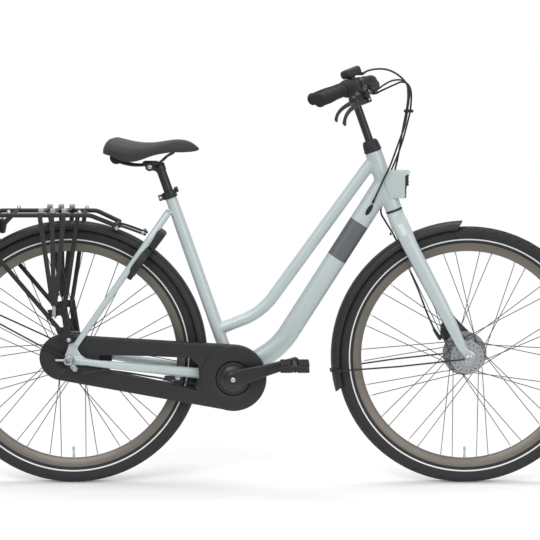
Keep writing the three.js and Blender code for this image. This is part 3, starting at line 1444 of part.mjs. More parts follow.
const lockAt = (out, side, front) =>
  along(lockCentre, [lockOut, out], [sideways, side], [lockAhead, front]);
const lockRing = (profile, sides) => turned(profile, lockCentre, lockAhead, { sides });
const lockBody = join(
  lockRing([[lockInner, -lockBack], [lockOuter, -lockBack], [lockOuter, lockFront], [lockInner, lockFront]], lockSides),
  block(
    lockAt((lockInner + lockHousingTop - lockCentreRadius) / 2 - overrun, 0, -lockMiddle),
    [lockOut, (lockHousingTop - lockCentreRadius - lockInner) / 2 + overrun], [sideways, lockHousingHalf],
    lockAhead, (lockBack + lockFront) / 2,
  ),
  [-1, 1].map((side) => cut(
    block(lockAt(lugOut, side * lugSide, -lugReach / 2), [lockOut, lugHalf], [sideways, lugHalf], lockAhead, lugReach),
    seatstayTube(side, seatGap),
  )),
);
const lockSpace = rod(
  lockAt(0, 0, -lockOuter), lockAt(0, 0, lockOuter), lockInner, { sides: lockSides },
);
const lockMouth = block(
  lockAt(-lockOuter, 0, 0), [lockOut, lockOuter], [sideways, lockGapHalf], lockAhead, lockOuter,
);
const lockTunnel = lockRing(
  oval(shackleRadius + 3 * runningGap, shackleRadius + 3 * runningGap, 8).map(([x, y]) => [shackleMid + x, y - lockMiddle]),
  lockSides,
);
const knobSlot = lockRing([
  [shackleMid, -lockMiddle - slotHalf], [lockOuter + overrun, -lockMiddle - slotHalf],
  [lockOuter + overrun, -lockMiddle + slotHalf], [shackleMid, -lockMiddle + slotHalf],
], lockSides).intersect(block(
  lockAt(-lockGapHalf / 2, (lockOuter + lockGapHalf) / 2 + overrun, 0),
  [lockOut, 1.7 * lockGapHalf], [sideways, lockGapHalf / 2 + overrun], lockAhead, lockOuter,
));
piece(bicycle, 'ring_lock_body', cut(lockBody, lockSpace, lockMouth, lockTunnel, knobSlot), blackPlastic);

const shackleCentre = lockAt(0, 0, -lockMiddle);
const knobAway = along(vec(0, 0, 0), [lockOut, -Math.cos(degrees(knobAngle))], [sideways, Math.sin(degrees(knobAngle))]);
piece(nested(bicycle, origin), 'lock_shackle', join(
  sweep(oval(shackleRadius, shackleRadius, 8),
    new Arc(shackleCentre, shackleMid, shackleStart, shackleEnd, lockOut.clone().negate(), sideways), 9),
  rod(along(shackleCentre, [knobAway, shackleMid]), along(shackleCentre, [knobAway, lockOuter + knobReach]),
    knobRadius, { sides: 8 }),
), steel);

// Kickstand leg, folded back under the left chainstay
const standHubLow = standEarSide + standEarWall + seatGap;
const standLegRadius = 7;
const standFootRadius = 9;
const standPath = [[360, 47.6, 267], [275, 55, 264], [112, 68, 262]].map((p) => vec(...p));
piece(nested(bicycle, origin), 'kickstand_leg', cut(join(
  rod(along(standPivot, [sideways, standHubLow]), along(standPivot, [sideways, standHubLow + standHubWidth]),
    standHubRadius, { sides: 14 }),
  rod(vec(standPivot.x, standPath[0].y, standPivot.z), standPath[0], standLegRadius, { sides: 8 }),
  bentTube(standPath, standLegRadius, 0, { sides: 8, bendSteps: 0 }),
  rod(standPath[2], along(standPath[2], [vec(-1, 0, 0), 2 * standFootRadius]), standFootRadius, { sides: 10 }),
), rod(
  along(standPivot, [sideways, standEarSide]),
  along(standPivot, [sideways, standHubLow + standHubWidth + overrun]),
  standPinRadius + runningGap, { sides: 12 },
)), steel);

// Cables, along routes chosen by hand: [forward, side, up]; a brake cable leaves its lever's barrel in line
const fromBarrel = (side) => {
  const end = onBar(side, barrelDistance, leverAhead, leverDrop + perchBodyRise / 2);
  const start = onBar(side, leverDistance, leverAhead, leverDrop + perchBodyRise);
  const out = end.clone().sub(start).normalize();
  return [along(end, [out, seatGap]), along(end, [out, barrelRadius])].map((p) => p.toArray());
};
const gearFrontRoute = [
  [772, -141, 1105], [787, -134, 1114], [827, -108, 1119], [855, -90, 1112], [883, -73, 1093], [901, -55, 1066],
  [899, -42, 1018], [892, -38, 972], [878, -36, 931], [854, -34, 864], [838, -33, 830], [820, -31, 790],
  [810, -24.3, 766],
];
const rearBrakeFrontRoute = [
  [858, -84, 1078], [882, -56, 1086], [899, -40, 1080], [909, -22, 1061], [910, -4, 1017],
  [904, 14, 979], [888, 27, 916], [861, 29.4, 847], [828, 31, 790], [806, 25.4, 757],
];
const frontBrakeRoute = [
  [866, 87, 1090], [901, 66, 1088], [908, 52, 1052], [893, 40, 956], [874, 40, 852],
  [846, 40, 778], [838, 42, 737], [852, 44, 708], [868, 46, 676], [882, 47, 646], [897, 47, 612],
  [915, 47, 572], [938, 47, 520], [962, 45, 459], [988, 42, 408],
];
const gearRearRoute = [
  [432, -8, 272], [395, -22, 272], [340, -29, 278], [300, -32, 283.6], [276, -34, 283.8], [254, -40, 293], [200, -49, 304],
  [150, -57, 314], [106, -66, 321], [70, -76, 322], [38, -84, 316],
];
const rearBrakeRearRoute = [
  [436, 10, 272], [415, 42, 280], [378, 46, 287], [340, 45, 290], [300, 49, 292], [200, 60, 303],
  [130, 69, 308], [80, 68, 300], [48, 58, 281],
];
piece(bicycle, 'gear_cable_front', cable(gearFrontRoute, 20), softBlack);
piece(bicycle, 'rear_brake_cable_front', cable([...fromBarrel(-1), ...rearBrakeFrontRoute], 18), softBlack);
piece(steering, 'front_brake_cable', cable([...fromBarrel(1), ...frontBrakeRoute], 24), softBlack);
piece(bicycle, 'gear_cable_rear', cable(gearRearRoute, 14), softBlack);
piece(bicycle, 'rear_brake_cable_rear', cable(rearBrakeRearRoute, 14), softBlack);

// The part stands on the ground, with the middle of its length and width over the origin
bicycle.updateMatrixWorld(true);
const bounds = new THREE.Box3().setFromObject(bicycle, true);
const middle = bounds.getCenter(vec(0, 0, 0));
bicycle.position.set(-middle.x, -middle.y, -bounds.min.z);

export default bicycle;
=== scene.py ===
# %% [markdown]
# # A Dutch city bicycle
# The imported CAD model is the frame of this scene. It says where every part sits and how it moves. Each step
# below gives one part of the bicycle the shape and the finish of the real one.

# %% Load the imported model
import json
import math

import bmesh
import bpy
from mathutils import Matrix, Vector


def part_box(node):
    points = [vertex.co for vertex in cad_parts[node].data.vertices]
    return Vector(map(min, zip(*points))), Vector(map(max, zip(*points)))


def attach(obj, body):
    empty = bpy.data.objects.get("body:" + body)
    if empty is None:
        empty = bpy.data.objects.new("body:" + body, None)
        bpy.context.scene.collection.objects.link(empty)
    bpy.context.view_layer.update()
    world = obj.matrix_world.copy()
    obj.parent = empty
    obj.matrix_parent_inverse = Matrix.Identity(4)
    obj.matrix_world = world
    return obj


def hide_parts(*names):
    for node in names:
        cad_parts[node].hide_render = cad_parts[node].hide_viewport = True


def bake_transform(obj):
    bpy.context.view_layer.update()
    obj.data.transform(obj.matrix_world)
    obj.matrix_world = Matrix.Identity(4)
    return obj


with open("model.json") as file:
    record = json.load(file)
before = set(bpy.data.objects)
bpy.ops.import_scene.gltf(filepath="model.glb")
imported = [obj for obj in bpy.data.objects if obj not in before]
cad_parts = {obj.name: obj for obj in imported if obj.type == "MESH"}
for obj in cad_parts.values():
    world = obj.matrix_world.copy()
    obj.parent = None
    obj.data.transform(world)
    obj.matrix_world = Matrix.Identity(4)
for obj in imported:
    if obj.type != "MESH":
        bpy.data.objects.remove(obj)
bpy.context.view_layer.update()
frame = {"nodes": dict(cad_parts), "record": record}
BODIES = frame["record"]["behaviour"]["bodies"]
BODY_OF = {node: body for body, nodes in BODIES.items() for node in nodes}
print("nodes:", len(BODY_OF), "bodies:", len(BODIES))

# %% [markdown]
# ## Places on the bicycle
# A bicycle is drawn from its rear axle, so the same numbers work here: millimetres forward of the axle, to
# the left and above the ground. The steering axis and the seat tube lean back, and most parts follow one of
# them, so each gets its own measure: ahead of the axis, to the side, and up along it.

# %% Places and directions
MM = 0.001
REAR_X = sum(corner.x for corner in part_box("rear_rim")) / 2
TYRE_RADIUS, WHEELBASE, FORK_RAKE = 351, 1068, 53
BRACKET_X, BRACKET_Z = 438.3, 298.5
STEER_LEAN, SEAT_LEAN = 19.9, 19.2
CRANK_LENGTH, CRANK_ANGLE = 170, 16.5
CHAIN_PITCH, CHAINRING_TEETH, SPROCKET_TEETH = 12.7, 36, 18
FENDER_RADIUS = 367
KICKSTAND_X, KICKSTAND_Z = 378.3, 266.5
SIDEWAYS = Vector((0, 1, 0))
UP = Vector((0, 0, 1))
FORWARD = Vector((1, 0, 0))


def at(x, y, z):
    """A point by its millimetres forward of the rear axle, to the left and above the ground."""
    return Vector((REAR_X + x * MM, y * MM, z * MM))


def leaning(angle):
    """The directions up along an axis that leans back, and ahead of it."""
    lean = math.radians(angle)
    return Vector((-math.sin(lean), 0, math.cos(lean))), Vector((math.cos(lean), 0, math.sin(lean)))


STEER_UP, STEER_FORWARD = leaning(STEER_LEAN)
SEAT_UP, SEAT_FORWARD = leaning(SEAT_LEAN)
REAR_AXLE = at(0, 0, TYRE_RADIUS)
FRONT_AXLE = at(WHEELBASE, 0, TYRE_RADIUS)
BRACKET = at(BRACKET_X, 0, BRACKET_Z)
STEER_FOOT = FRONT_AXLE - STEER_FORWARD * FORK_RAKE * MM


def on_steer(ahead, side, up):
    return STEER_FOOT + (STEER_FORWARD * ahead + SIDEWAYS * side + STEER_UP * up) * MM


def on_seat(ahead, side, up):
    return BRACKET + (SEAT_FORWARD * ahead + SIDEWAYS * side + SEAT_UP * up) * MM


def about(centre, radius, angle, side=0):
    """A point on a circle round centre, at an angle up from forward."""
    turn = math.radians(angle)
    return centre + (Vector((math.cos(turn), 0, math.sin(turn))) * radius + SIDEWAYS * side) * MM


print("rear axle at", [round(value, 4) for value in REAR_AXLE])

# %% [markdown]
# ## The camera
# The photograph was taken from the drive side, about four metres away and at the height of the handlebar,
# with a long lens, so the wheels stay almost round.

# %% Camera
camera_data = bpy.data.cameras.new("Camera")
camera_data.sensor_width = 36
camera_data.lens = 99.67
camera = bpy.data.objects.new("Camera", camera_data)
camera.location = at(536.5, -4000, 1060)
view_line = at(536.5, 0, 583.7) - camera.location
camera.rotation_euler = view_line.to_track_quat("-Z", "Y").to_euler()
bpy.context.scene.collection.objects.link(camera)
bpy.context.scene.camera = camera
print("camera tilt in degrees:", round(math.degrees(camera.rotation_euler.x), 2))

# %% [markdown]
# ## Making materials
# A colour on screen is written as a hex code, but a shader wants linear light, so one function turns one
# into the other. Another small function adds a node with its settings and its links. The bump and the
# mottling of every finish are given by a real size in millimetres.

# %% Material helpers
def colour(code):
    """A hex code on screen as linear light."""
    channels = [int(code[i:i + 2], 16) / 255 for i in (1, 3, 5)]
    return (*[c / 12.92 if c <= 0.04045 else ((c + 0.055) / 1.055) ** 2.4 for c in channels], 1)


def add(material, kind, inputs, **settings):
    """Add a node with its settings and its links or values. It gives back the node's outputs."""
    made = material.node_tree.nodes.new(kind)
    for name, value in settings.items():
        setattr(made, name, value)
    for name, value in inputs.items():
        if isinstance(value, bpy.types.NodeSocket):
            material.node_tree.links.new(value, made.inputs[name])
        else:
            made.inputs[name].default_value = value
    return made.outputs


def finish(name, code, roughness, metallic=0.0, **sockets):
    material = bpy.data.materials.new(name)
    material.use_nodes = True
    shader = material.node_tree.nodes["Principled BSDF"]
    values = {"Base Color": colour(code), "Roughness": roughness, "Metallic": metallic, **sockets}
    for socket, value in values.items():
        shader.inputs[socket].default_value = value
    return material


def link(material, output, socket):
    material.node_tree.links.new(output, material.node_tree.nodes["Principled BSDF"].inputs[socket])


def place(material):
    """The object coordinates, from one node that each material makes once."""
    made = [node.outputs for node in material.node_tree.nodes if node.bl_idname == "ShaderNodeTexCoord"]
    return (made[0] if made else add(material, "ShaderNodeTexCoord", {}))["Object"]


def pattern(material, size, **inputs):
    """The inputs of any pattern that has its real size in millimetres."""
    return {"Vector": place(material), "Scale": 1 / (size * MM), **inputs}


def mottle(material, low, high, size):
    """Clouds of two colours."""
    clouds = add(material, "ShaderNodeTexNoise", pattern(material, size, Detail=4.0))["Fac"]
    mixed = {0: clouds, 6: colour(low), 7: colour(high)}
    link(material, add(material, "ShaderNodeMix", mixed, data_type="RGBA")[2], "Base Color")


def vary_roughness(material, low, high, size):
    """Clouds that are more and less polished."""
    clouds = add(material, "ShaderNodeTexNoise", pattern(material, size, Detail=4.0))["Fac"]
    link(material, add(material, "ShaderNodeMapRange", {0: clouds, 3: low, 4: high})[0], "Roughness")


def relief(material, height, depth, strength=1.0):
    """A pattern that stands out by a real depth in millimetres."""
    raised = {"Height": height, "Distance": depth * MM, "Strength": strength}
    link(material, add(material, "ShaderNodeBump", raised)["Normal"], "Normal")


def grain(material, size, depth, strength=1.0):
    """The random relief of a sprayed, moulded or cast skin."""
    crests = add(material, "ShaderNodeTexNoise", pattern(material, size, Detail=2.0))["Fac"]
    relief(material, crests, depth, strength)


print("mid grey on screen in linear light:", round(colour("#808080")[0], 3))

# %% [markdown]
# ## Frame enamel
# The aluminium frame is sprayed with a pale grey green lacquer under a satin clear coat. Sprayed lacquer
# settles into faint orange peel, about 3 mm from crest to crest. A plain dark grey band is sprayed across
# the upper part of the down tube, and a mask along that tube's axis gives it clean edges.

# %% Frame enamel
enamel = finish("Sprayed_enamel_grey_green", "#bcc7c8", 0.36, 0.1,
                **{"Coat Weight": 0.35, "Coat Roughness": 0.22})
band_low, band_high, band_reach = at(714, 0, 617.6), at(775.4, 0, 712.3), 31
band_run = band_high - band_low
from_band = add(enamel, "ShaderNodeVectorMath", {0: place(enamel), 1: band_low}, operation="SUBTRACT")[0]


def measured(direction):
    """How far a place is from the band's foot in one direction."""
    return add(enamel, "ShaderNodeVectorMath", {0: from_band, 1: direction}, operation="DOT_PRODUCT")["Value"]


along_band = measured(band_run.normalized())
across_band = measured(band_run.cross(SIDEWAYS).normalized())
off_band = add(enamel, "ShaderNodeMath", {0: across_band}, operation="ABSOLUTE")[0]
in_band = add(enamel, "ShaderNodeMath", {0: along_band, 1: 0.0}, operation="GREATER_THAN")[0]
for spot, limit in ((along_band, band_run.length), (off_band, band_reach * MM)):
    within = add(enamel, "ShaderNodeMath", {0: spot, 1: limit}, operation="LESS_THAN")[0]
    in_band = add(enamel, "ShaderNodeMath", {0: in_band, 1: within}, operation="MULTIPLY")[0]
clouds = add(enamel, "ShaderNodeTexNoise", pattern(enamel, 60, Detail=3.0))["Fac"]
greys = {0: clouds, 6: colour("#bac5c6"), 7: colour("#bfcacb")}
sprayed = add(enamel, "ShaderNodeMix", greys, data_type="RGBA")[2]
banded = {0: in_band, 6: sprayed, 7: colour("#616466")}
link(enamel, add(enamel, "ShaderNodeMix", banded, data_type="RGBA")[2], "Base Color")
grain(enamel, 3, 0.02, 0.05)
print("band length in mm:", round(band_run.length / MM, 1))

# %% [markdown]
# ## Black finishes
# A city bicycle has five kinds of black. The rack and the handlebar are powder coated, which leaves a fine
# pebbled skin. The chaincase and fenders are moulded ABS with spark-eroded grain. The grips are soft rubber
# with almost no shine, and the cable covers are smooth PVC. The levers and cranks are painted and a little
# glossier.

# %% Black finishes
matt = {"Specular IOR Level": 0.35}
powder_coat = finish("Powder_coat_black", "#252627", 0.48, 0.0, **matt)
mottle(powder_coat, "#222324", "#292a2b", 25)
grain(powder_coat, 0.9, 0.03, 0.05)

black_paint = finish("Satin_paint_black", "#212223", 0.34, 0.1,
                     **{"Coat Weight": 0.2, "Coat Roughness": 0.25})
vary_roughness(black_paint, 0.3, 0.4, 18)
grain(black_paint, 1.5, 0.02, 0.05)

moulded_abs = finish("Moulded_ABS_black", "#2a2a2b", 0.46, 0.0, **matt)
mottle(moulded_abs, "#272728", "#2e2e2f", 40)
grain(moulded_abs, 0.8, 0.04, 0.1)

soft_rubber = finish("Soft_rubber_black", "#232324", 0.7, 0.0, **matt)
mottle(soft_rubber, "#202021", "#272728", 12)
grain(soft_rubber, 1.2, 0.06, 0.12)

cable_cover = finish("Extruded_PVC_cover_black", "#1f1f20", 0.4)
grain(cable_cover, 1.0, 0.02, 0.2)
print("materials so far:", len(bpy.data.materials))

# %% [markdown]
# ## Tyre rubber
# Tyres are moulded from carbon black rubber. The sidewall carries faint concentric mould lines, so its bump
# reads the distance from the wheel's axle. A woven reflective band is moulded into each sidewall.

# %% Tyre rubber and wheel metals
def rings_round(material, centre, pitch):
    """Waves of the distance from an axle, with a crest at every pitch."""
    spot = place(material)
    for operation, other in (("SUBTRACT", centre), ("MULTIPLY", (1, 0, 1))):
        spot = add(material, "ShaderNodeVectorMath", {0: spot, 1: other}, operation=operation)[0]
    distance = add(material, "ShaderNodeVectorMath", {0: spot}, operation="LENGTH")["Value"]
    turns = {0: distance, 1: 2 * math.pi / (pitch * MM)}
    wave = add(material, "ShaderNodeMath", turns, operation="MULTIPLY")[0]
    return add(material, "ShaderNodeMath", {0: wave}, operation="SINE")[0]


def wheel_finishes(end, centre):
    rubber = finish(f"Tyre_rubber_{end}", "#1f1f20", 0.7)
    mottle(rubber, "#1c1c1d", "#272727", 30)
    relief(rubber, rings_round(rubber, centre, 2.4), 0.12, 0.5)
    reflective = finish(f"Reflective_weave_{end}", "#dfe2e2", 0.35, **{"Coat Weight": 0.3})
    grain(reflective, 0.8, 0.05, 0.5)
    anodised = finish(f"Anodised_aluminium_bronze_{end}", "#77726a", 0.42, 0.55)
    mottle(anodised, "#736e66", "#7c776f", 50)
    relief(anodised, rings_round(anodised, centre, 1.2), 0.02, 0.4)
    silver = finish(f"Turned_aluminium_{end}", "#b4b6b7", 0.34, 0.85)
    vary_roughness(silver, 0.28, 0.42, 15)
    relief(silver, rings_round(silver, centre, 0.8), 0.02, 0.4)
    return rubber, reflective, anodised, silver


WHEEL_FINISHES = {"front": wheel_finishes("front", FRONT_AXLE), "rear": wheel_finishes("rear", REAR_AXLE)}

spoke_steel = finish("Drawn_steel_spoke", "#4a4c4e", 0.4, 0.6)
vary_roughness(spoke_steel, 0.34, 0.46, 10)
zinc = finish("Zinc_plated_steel", "#c3c6c8", 0.3, 0.9)
vary_roughness(zinc, 0.24, 0.4, 6)
cast_aluminium = finish("Cast_aluminium_satin", "#a9adae", 0.42, 0.7)
grain(cast_aluminium, 1.0, 0.04, 0.5)
chain_steel = finish("Oiled_chain_steel", "#77797b", 0.4, 0.85)
vary_roughness(chain_steel, 0.3, 0.5, 5)
print("materials so far:", len(bpy.data.materials))

# %% [markdown]
# ## Saddle cover, straps and lenses
# The saddle is covered in a matt artificial leather with a pebbled grain about 1.6 mm across. The straps are
# rubber cord covered in woven yarn. Its real pitch of about half a millimetre is too fine to show, so the
# bars are drawn about 4 mm apart. The lenses and the pedal reflectors are clear, red and amber acrylic, and
# the headlamp has a chromed mirror behind its lens.

# %% Saddle cover, straps and lenses
saddle_skin = finish("Artificial_leather_black", "#2b2b2c", 0.6, 0.0, **{"Sheen Weight": 0.06})
pebbles = add(saddle_skin, "ShaderNodeTexVoronoi", pattern(saddle_skin, 1.6))["Distance"]
relief(saddle_skin, pebbles, 0.1, 0.35)
mottle(saddle_skin, "#29292a", "#2f2f30", 30)

elastic_weave = finish("Woven_elastic_black", "#28282a", 0.75, 0.0, **{"Sheen Weight": 0.1})
bars = add(elastic_weave, "ShaderNodeTexWave", pattern(elastic_weave, 12), bands_direction="Z")["Fac"]
relief(elastic_weave, bars, 0.2, 0.5)
mottle(elastic_weave, "#252526", "#2d2d2e", 8)

clear_lens = finish("Clear_acrylic", "#eef2f3", 0.05, 0.0, **{"Transmission Weight": 0.85, "IOR": 1.49})
grain(clear_lens, 8, 0.05, 0.3)
red_lens = finish("Red_acrylic", "#a3201b", 0.12, 0.0, **{"Transmission Weight": 0.3, "IOR": 1.49})
prisms = add(red_lens, "ShaderNodeTexVoronoi", pattern(red_lens, 4), distance="CHEBYCHEV")["Distance"]
relief(red_lens, prisms, 0.3, 0.5)
amber_lens = finish("Amber_acrylic", "#c8701c", 0.15, 0.0, **{"Transmission Weight": 0.2, "IOR": 1.49})
grain(amber_lens, 2, 0.2, 0.5)
chrome = finish("Chrome_reflector", "#d5d8da", 0.08, 1.0)
grain(chrome, 6, 0.05, 0.2)
print("materials:", len(bpy.data.materials))

# %% [markdown]
# ## Shapes from bmesh operators
# Nearly all of a bicycle is tube, so most parts start as circles that are bridged into a skin. Round parts
# such as hubs are spun from a profile, and flat parts are an outline that is filled and extruded.

# %% Shape helpers
def ring(bm, centre, u, v, sides=32):
    turn = Matrix((u, v, u.cross(v).normalized())).transposed().to_4x4()
    turn.translation = centre
    made = bmesh.ops.create_circle(bm, cap_ends=False, segments=sides, radius=1, matrix=turn)
    return list({edge for vert in made["verts"] for edge in vert.link_edges})


def bridged(bm, loops):
    """A skin over a row of closed lines, with its ends filled."""
    for first, second in zip(loops, loops[1:]):
        bmesh.ops.bridge_loops(bm, edges=first + second)
    for end in (loops[0], loops[-1]):
        bmesh.ops.edgeloop_fill(bm, edges=end)


def skin(bm, sections, sides=32):
    bridged(bm, [ring(bm, centre, u, v, sides) for centre, u, v in sections])


def tube(bm, points, radius, sides=24):
    """A round tube along points. The radius is one number, or one for each point."""
    radii = radius if isinstance(radius, (list, tuple)) else [radius] * len(points)
    headings = [(after - before).normalized()
                for before, after in zip(points[:1] + points[:-1], points[1:] + points[-1:])]
    u = headings[0].orthogonal().normalized()
    sections = []
    for point, heading, size in zip(points, headings, radii):
        u = (u - heading * u.dot(heading)).normalized()
        sections.append((point, u * size * MM, heading.cross(u) * size * MM))
    skin(bm, sections, sides)


def rod(bm, start, end, radius, tip=None, sides=24):
    tube(bm, [start, end], [radius, radius if tip is None else tip], sides)


def bent(corners, radius, steps=10):
    """The points of straight runs joined by round bends, as a tube bender makes them."""
    points = [corners[0]]
    for before, corner, after in zip(corners, corners[1:], corners[2:]):
        arriving, leaving = (corner - before).normalized(), (after - corner).normalized()
        angle = arriving.angle(leaving)
        axis = arriving.cross(leaving).normalized()
        start = corner - arriving * radius * MM * math.tan(angle / 2)
        centre = start + axis.cross(arriving) * radius * MM
        for step in range(steps + 1):
            points.append(centre + Matrix.Rotation(angle * step / steps, 3, axis) @ (start - centre))
    return points + [corners[-1]]


def flowing(points, steps=8):
    """A smooth centripetal curve through points."""
    ends = [points[0] * 2 - points[1], *points, points[-1] * 2 - points[-2]]
    made = []
    for a, b, c, d in zip(ends, ends[1:], ends[2:], ends[3:]):
        ta, tb = 0, math.sqrt((b - a).length)
        tc = tb + math.sqrt((c - b).length)
        td = tc + math.sqrt((d - c).length)
        for step in range(steps):
            t = tb + (tc - tb) * step / steps
            ab = a * ((tb - t) / (tb - ta)) + b * ((t - ta) / (tb - ta))
            bc = b * ((tc - t) / (tc - tb)) + c * ((t - tb) / (tc - tb))
            cd = c * ((td - t) / (td - tc)) + d * ((t - tc) / (td - tc))
            abc = ab * ((tc - t) / (tc - ta)) + bc * ((t - ta) / (tc - ta))
            bcd = bc * ((td - t) / (td - tb)) + cd * ((t - tb) / (td - tb))
            made.append(abc * ((tc - t) / (tc - tb)) + bcd * ((t - tb) / (tc - tb)))
    return made + [points[-1]]


def wire(bm, points, closed=True):
    """A line of points. It gives back its edges."""
    verts = [bm.verts.new(point) for point in points]
    pairs = list(zip(verts, verts[1:])) + ([(verts[-1], verts[0])] if closed else [])
    return [bm.edges.new(pair) for pair in pairs]


def turned(bm, profile, centre, axis, steps=48, sideways=None):
    """A profile of [radius, distance along the axis], spun once round the axis."""
    out = sideways or axis.orthogonal().normalized()
    points = [centre + (out * radius + axis * height) * MM for radius, height in profile]
    edges = wire(bm, points, closed=profile[0][0] > 0)
    geometry = edges + list({vert for edge in edges for vert in edge.verts})
    bmesh.ops.spin(bm, geom=geometry, cent=centre, axis=axis, angle=2 * math.pi, steps=steps, use_merge=True)


def spun_arc(bm, points, centre, axis, angle, steps):
    """A closed line of points, filled and spun through an arc of degrees."""
    edges = wire(bm, points)
    face = bmesh.ops.contextual_create(bm, geom=edges)["faces"]
    bmesh.ops.spin(bm, geom=face + edges + list(bm.verts), cent=centre, axis=axis, steps=steps,
                   angle=math.radians(angle), use_merge=False)


def spin_step(up, ahead, steps):
    """Which step of a spin holds a place."""
    return round(math.atan2(up, ahead) / (2 * math.pi) * steps - 0.5)


def plate(bm, outline, one_side, other_side, holes=()):
    """A plate seen from the bicycle's side: outlines of [forward, up], between two places to the left."""
    low, high = sorted((one_side, other_side))
    edges = []
    for line in (outline, *holes):
        edges += wire(bm, [at(x, low, z) for x, z in line])
    filled = bmesh.ops.triangle_fill(bm, use_beauty=True, use_dissolve=True, edges=edges)
    faces = [item for item in filled["geom"] if isinstance(item, bmesh.types.BMFace)]
    raised = bmesh.ops.extrude_face_region(bm, geom=faces, use_keep_orig=True)
    bmesh.ops.translate(bm, verts=new_verts(raised), vec=SIDEWAYS * (high - low) * MM)


def block(bm, centre, halves, axes=(FORWARD, SIDEWAYS, UP)):
    """A block by its centre and its half lengths along three directions."""
    turn = Matrix([axis * half * MM * 2 for axis, half in zip(axes, halves)]).transposed().to_4x4()
    turn.translation = centre
    bmesh.ops.create_cube(bm, size=1, matrix=turn)


def clean(bm):
    """Merge the points that coincide, and turn every face outwards."""
    bmesh.ops.remove_doubles(bm, verts=bm.verts, dist=0.002 * MM)
    bmesh.ops.recalc_face_normals(bm, faces=bm.faces)


def new_verts(made):
    return [item for item in made["geom"] if isinstance(item, bmesh.types.BMVert)]


def round_edges(bm, size, segments=2, sharper_than=50):
    """Round every edge where two faces meet more sharply than the given angle."""
    clean(bm)
    limit = math.radians(sharper_than)
    edges = [edge for edge in bm.edges if edge.is_manifold and edge.calc_face_angle(0) > limit]
    bmesh.ops.bevel(bm, geom=edges, offset=size * MM, offset_type="OFFSET", segments=segments, profile=0.5,
                    affect="EDGES", material=-1, clamp_overlap=True)


print("points on a right angled bend:", len(bent([at(0, 0, 0), at(500, 0, 0), at(500, 0, 500)], 100)))

# %% [markdown]
# ## From mesh to piece
# A finished piece is an object at the origin that rides on one CAD body, or on none. Where
# it stands for a CAD node, the node is hidden, and the piece carries its own materials.

# %% Piece helpers
made_pieces = {}


def piece(name, bm, materials, nodes=(), body=None, sharp=38):
    """An object from a bmesh, smooth except where its faces meet sharply."""
    clean(bm)
    for face in bm.faces:
        face.smooth = True
    for edge in bm.edges:
        edge.smooth = not edge.is_manifold or edge.calc_face_angle(0) < math.radians(sharp)
    mesh = bpy.data.meshes.new(name)
    bm.to_mesh(mesh)
    bm.free()
    for material in materials if isinstance(materials, (list, tuple)) else [materials]:
        mesh.materials.append(material)
    obj = bpy.data.objects.new(name, mesh)
    bpy.context.scene.collection.objects.link(obj)
    nodes = [nodes] if isinstance(nodes, str) else nodes
    for node in nodes:
        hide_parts(node)
    if body != "blend":
        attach(obj, body or BODY_OF[nodes[0]])
    made_pieces[name] = len(mesh.polygons)
    return obj


def welded(obj, voxel, passes):
    """Overlapping tubes melted into one skin, with a small fillet where they meet."""
    remesh = obj.modifiers.new("Weld", "REMESH")
    remesh.mode = "VOXEL"
    remesh.voxel_size = voxel * MM
    remesh.use_smooth_shade = True
    relax = obj.modifiers.new("Fillet", "SMOOTH")
    relax.factor = 0.5
    relax.iterations = passes
    graph = bpy.context.evaluated_depsgraph_get()
    mesh = bpy.data.meshes.new_from_object(obj.evaluated_get(graph))
    obj.modifiers.clear()
    obj.data = mesh
    made_pieces[obj.name] = len(mesh.polygons)


def copy_of(node, size, segments=2):
    """A CAD node's mesh as one closed skin with its edges rounded a little."""
    bm = bmesh.new()
    bm.from_mesh(frame["nodes"][node].data)
    bmesh.ops.remove_doubles(bm, verts=bm.verts, dist=0.01 * MM)
    bmesh.ops.dissolve_limit(bm, angle_limit=math.radians(1), verts=bm.verts, edges=bm.edges)
    round_edges(bm, size, segments, 35)
    return bm


def bolt(bm, centre, axis, radius, height, sides=24):
    """A domed bolt head."""
    dome = [[0, height], [radius * 0.5, height * 0.95], [radius * 0.85, height * 0.7],
            [radius, height * 0.3], [radius, 0], [0, 0]]
    turned(bm, dome, centre, axis, sides)


# %% [markdown]
# ## The frame
# The real frame is hydroformed aluminium: the tubes flow into each other without a visible weld. Separate
# tubes would meet in hard lines. So every tube is skinned on its own, and a voxel remesh melts them into one
# body whose joints are then relaxed into fillets.

# %% Frame tubes
HEAD_RADIUS, SHELL_RADIUS, SHELL_HALF = 22.5, 22, 34
TOP_RADIUS, DOWN_HALF_WIDTH, DOWN_HALF_DEPTH = 16, 22, 28
STAY_TOP_SIDE, STAY_FOOT_SIDE = 16, 67


def share_between(low, high, share_x, share_z):
    return Vector((low.x + (high.x - low.x) * share_x, 0, low.z + (high.z - low.z) * share_z))


bm = bmesh.new()
rod(bm, on_steer(0, 0, 440), on_steer(0, 0, 606), HEAD_RADIUS, sides=48)
top_head, top_seat, down_head = on_steer(0, 0, 590), on_seat(0, 0, 130), on_steer(0, 0, 515)
tube(bm, bent([top_head, share_between(top_seat, top_head, 0.279, 0.1), top_seat], 180), TOP_RADIUS, 40)
down_knee = share_between(BRACKET, down_head, 0.308, 0.147)
down_path = bent([down_head, down_knee, BRACKET], 200)
sections = []
for before, point, after in zip(down_path[:1] + down_path[:-1], down_path, down_path[1:] + down_path[-1:]):
    across = (after - before).normalized().cross(SIDEWAYS)
    sections.append((point, SIDEWAYS * DOWN_HALF_WIDTH * MM, across * DOWN_HALF_DEPTH * MM))
skin(bm, sections, 48)
tube(bm, [BRACKET, on_seat(0, 0, 400), on_seat(0, 0, 522)], [17, 16.8, 15.4], 40)
rod(bm, BRACKET - SIDEWAYS * SHELL_HALF * MM, BRACKET + SIDEWAYS * SHELL_HALF * MM, SHELL_RADIUS, sides=40)


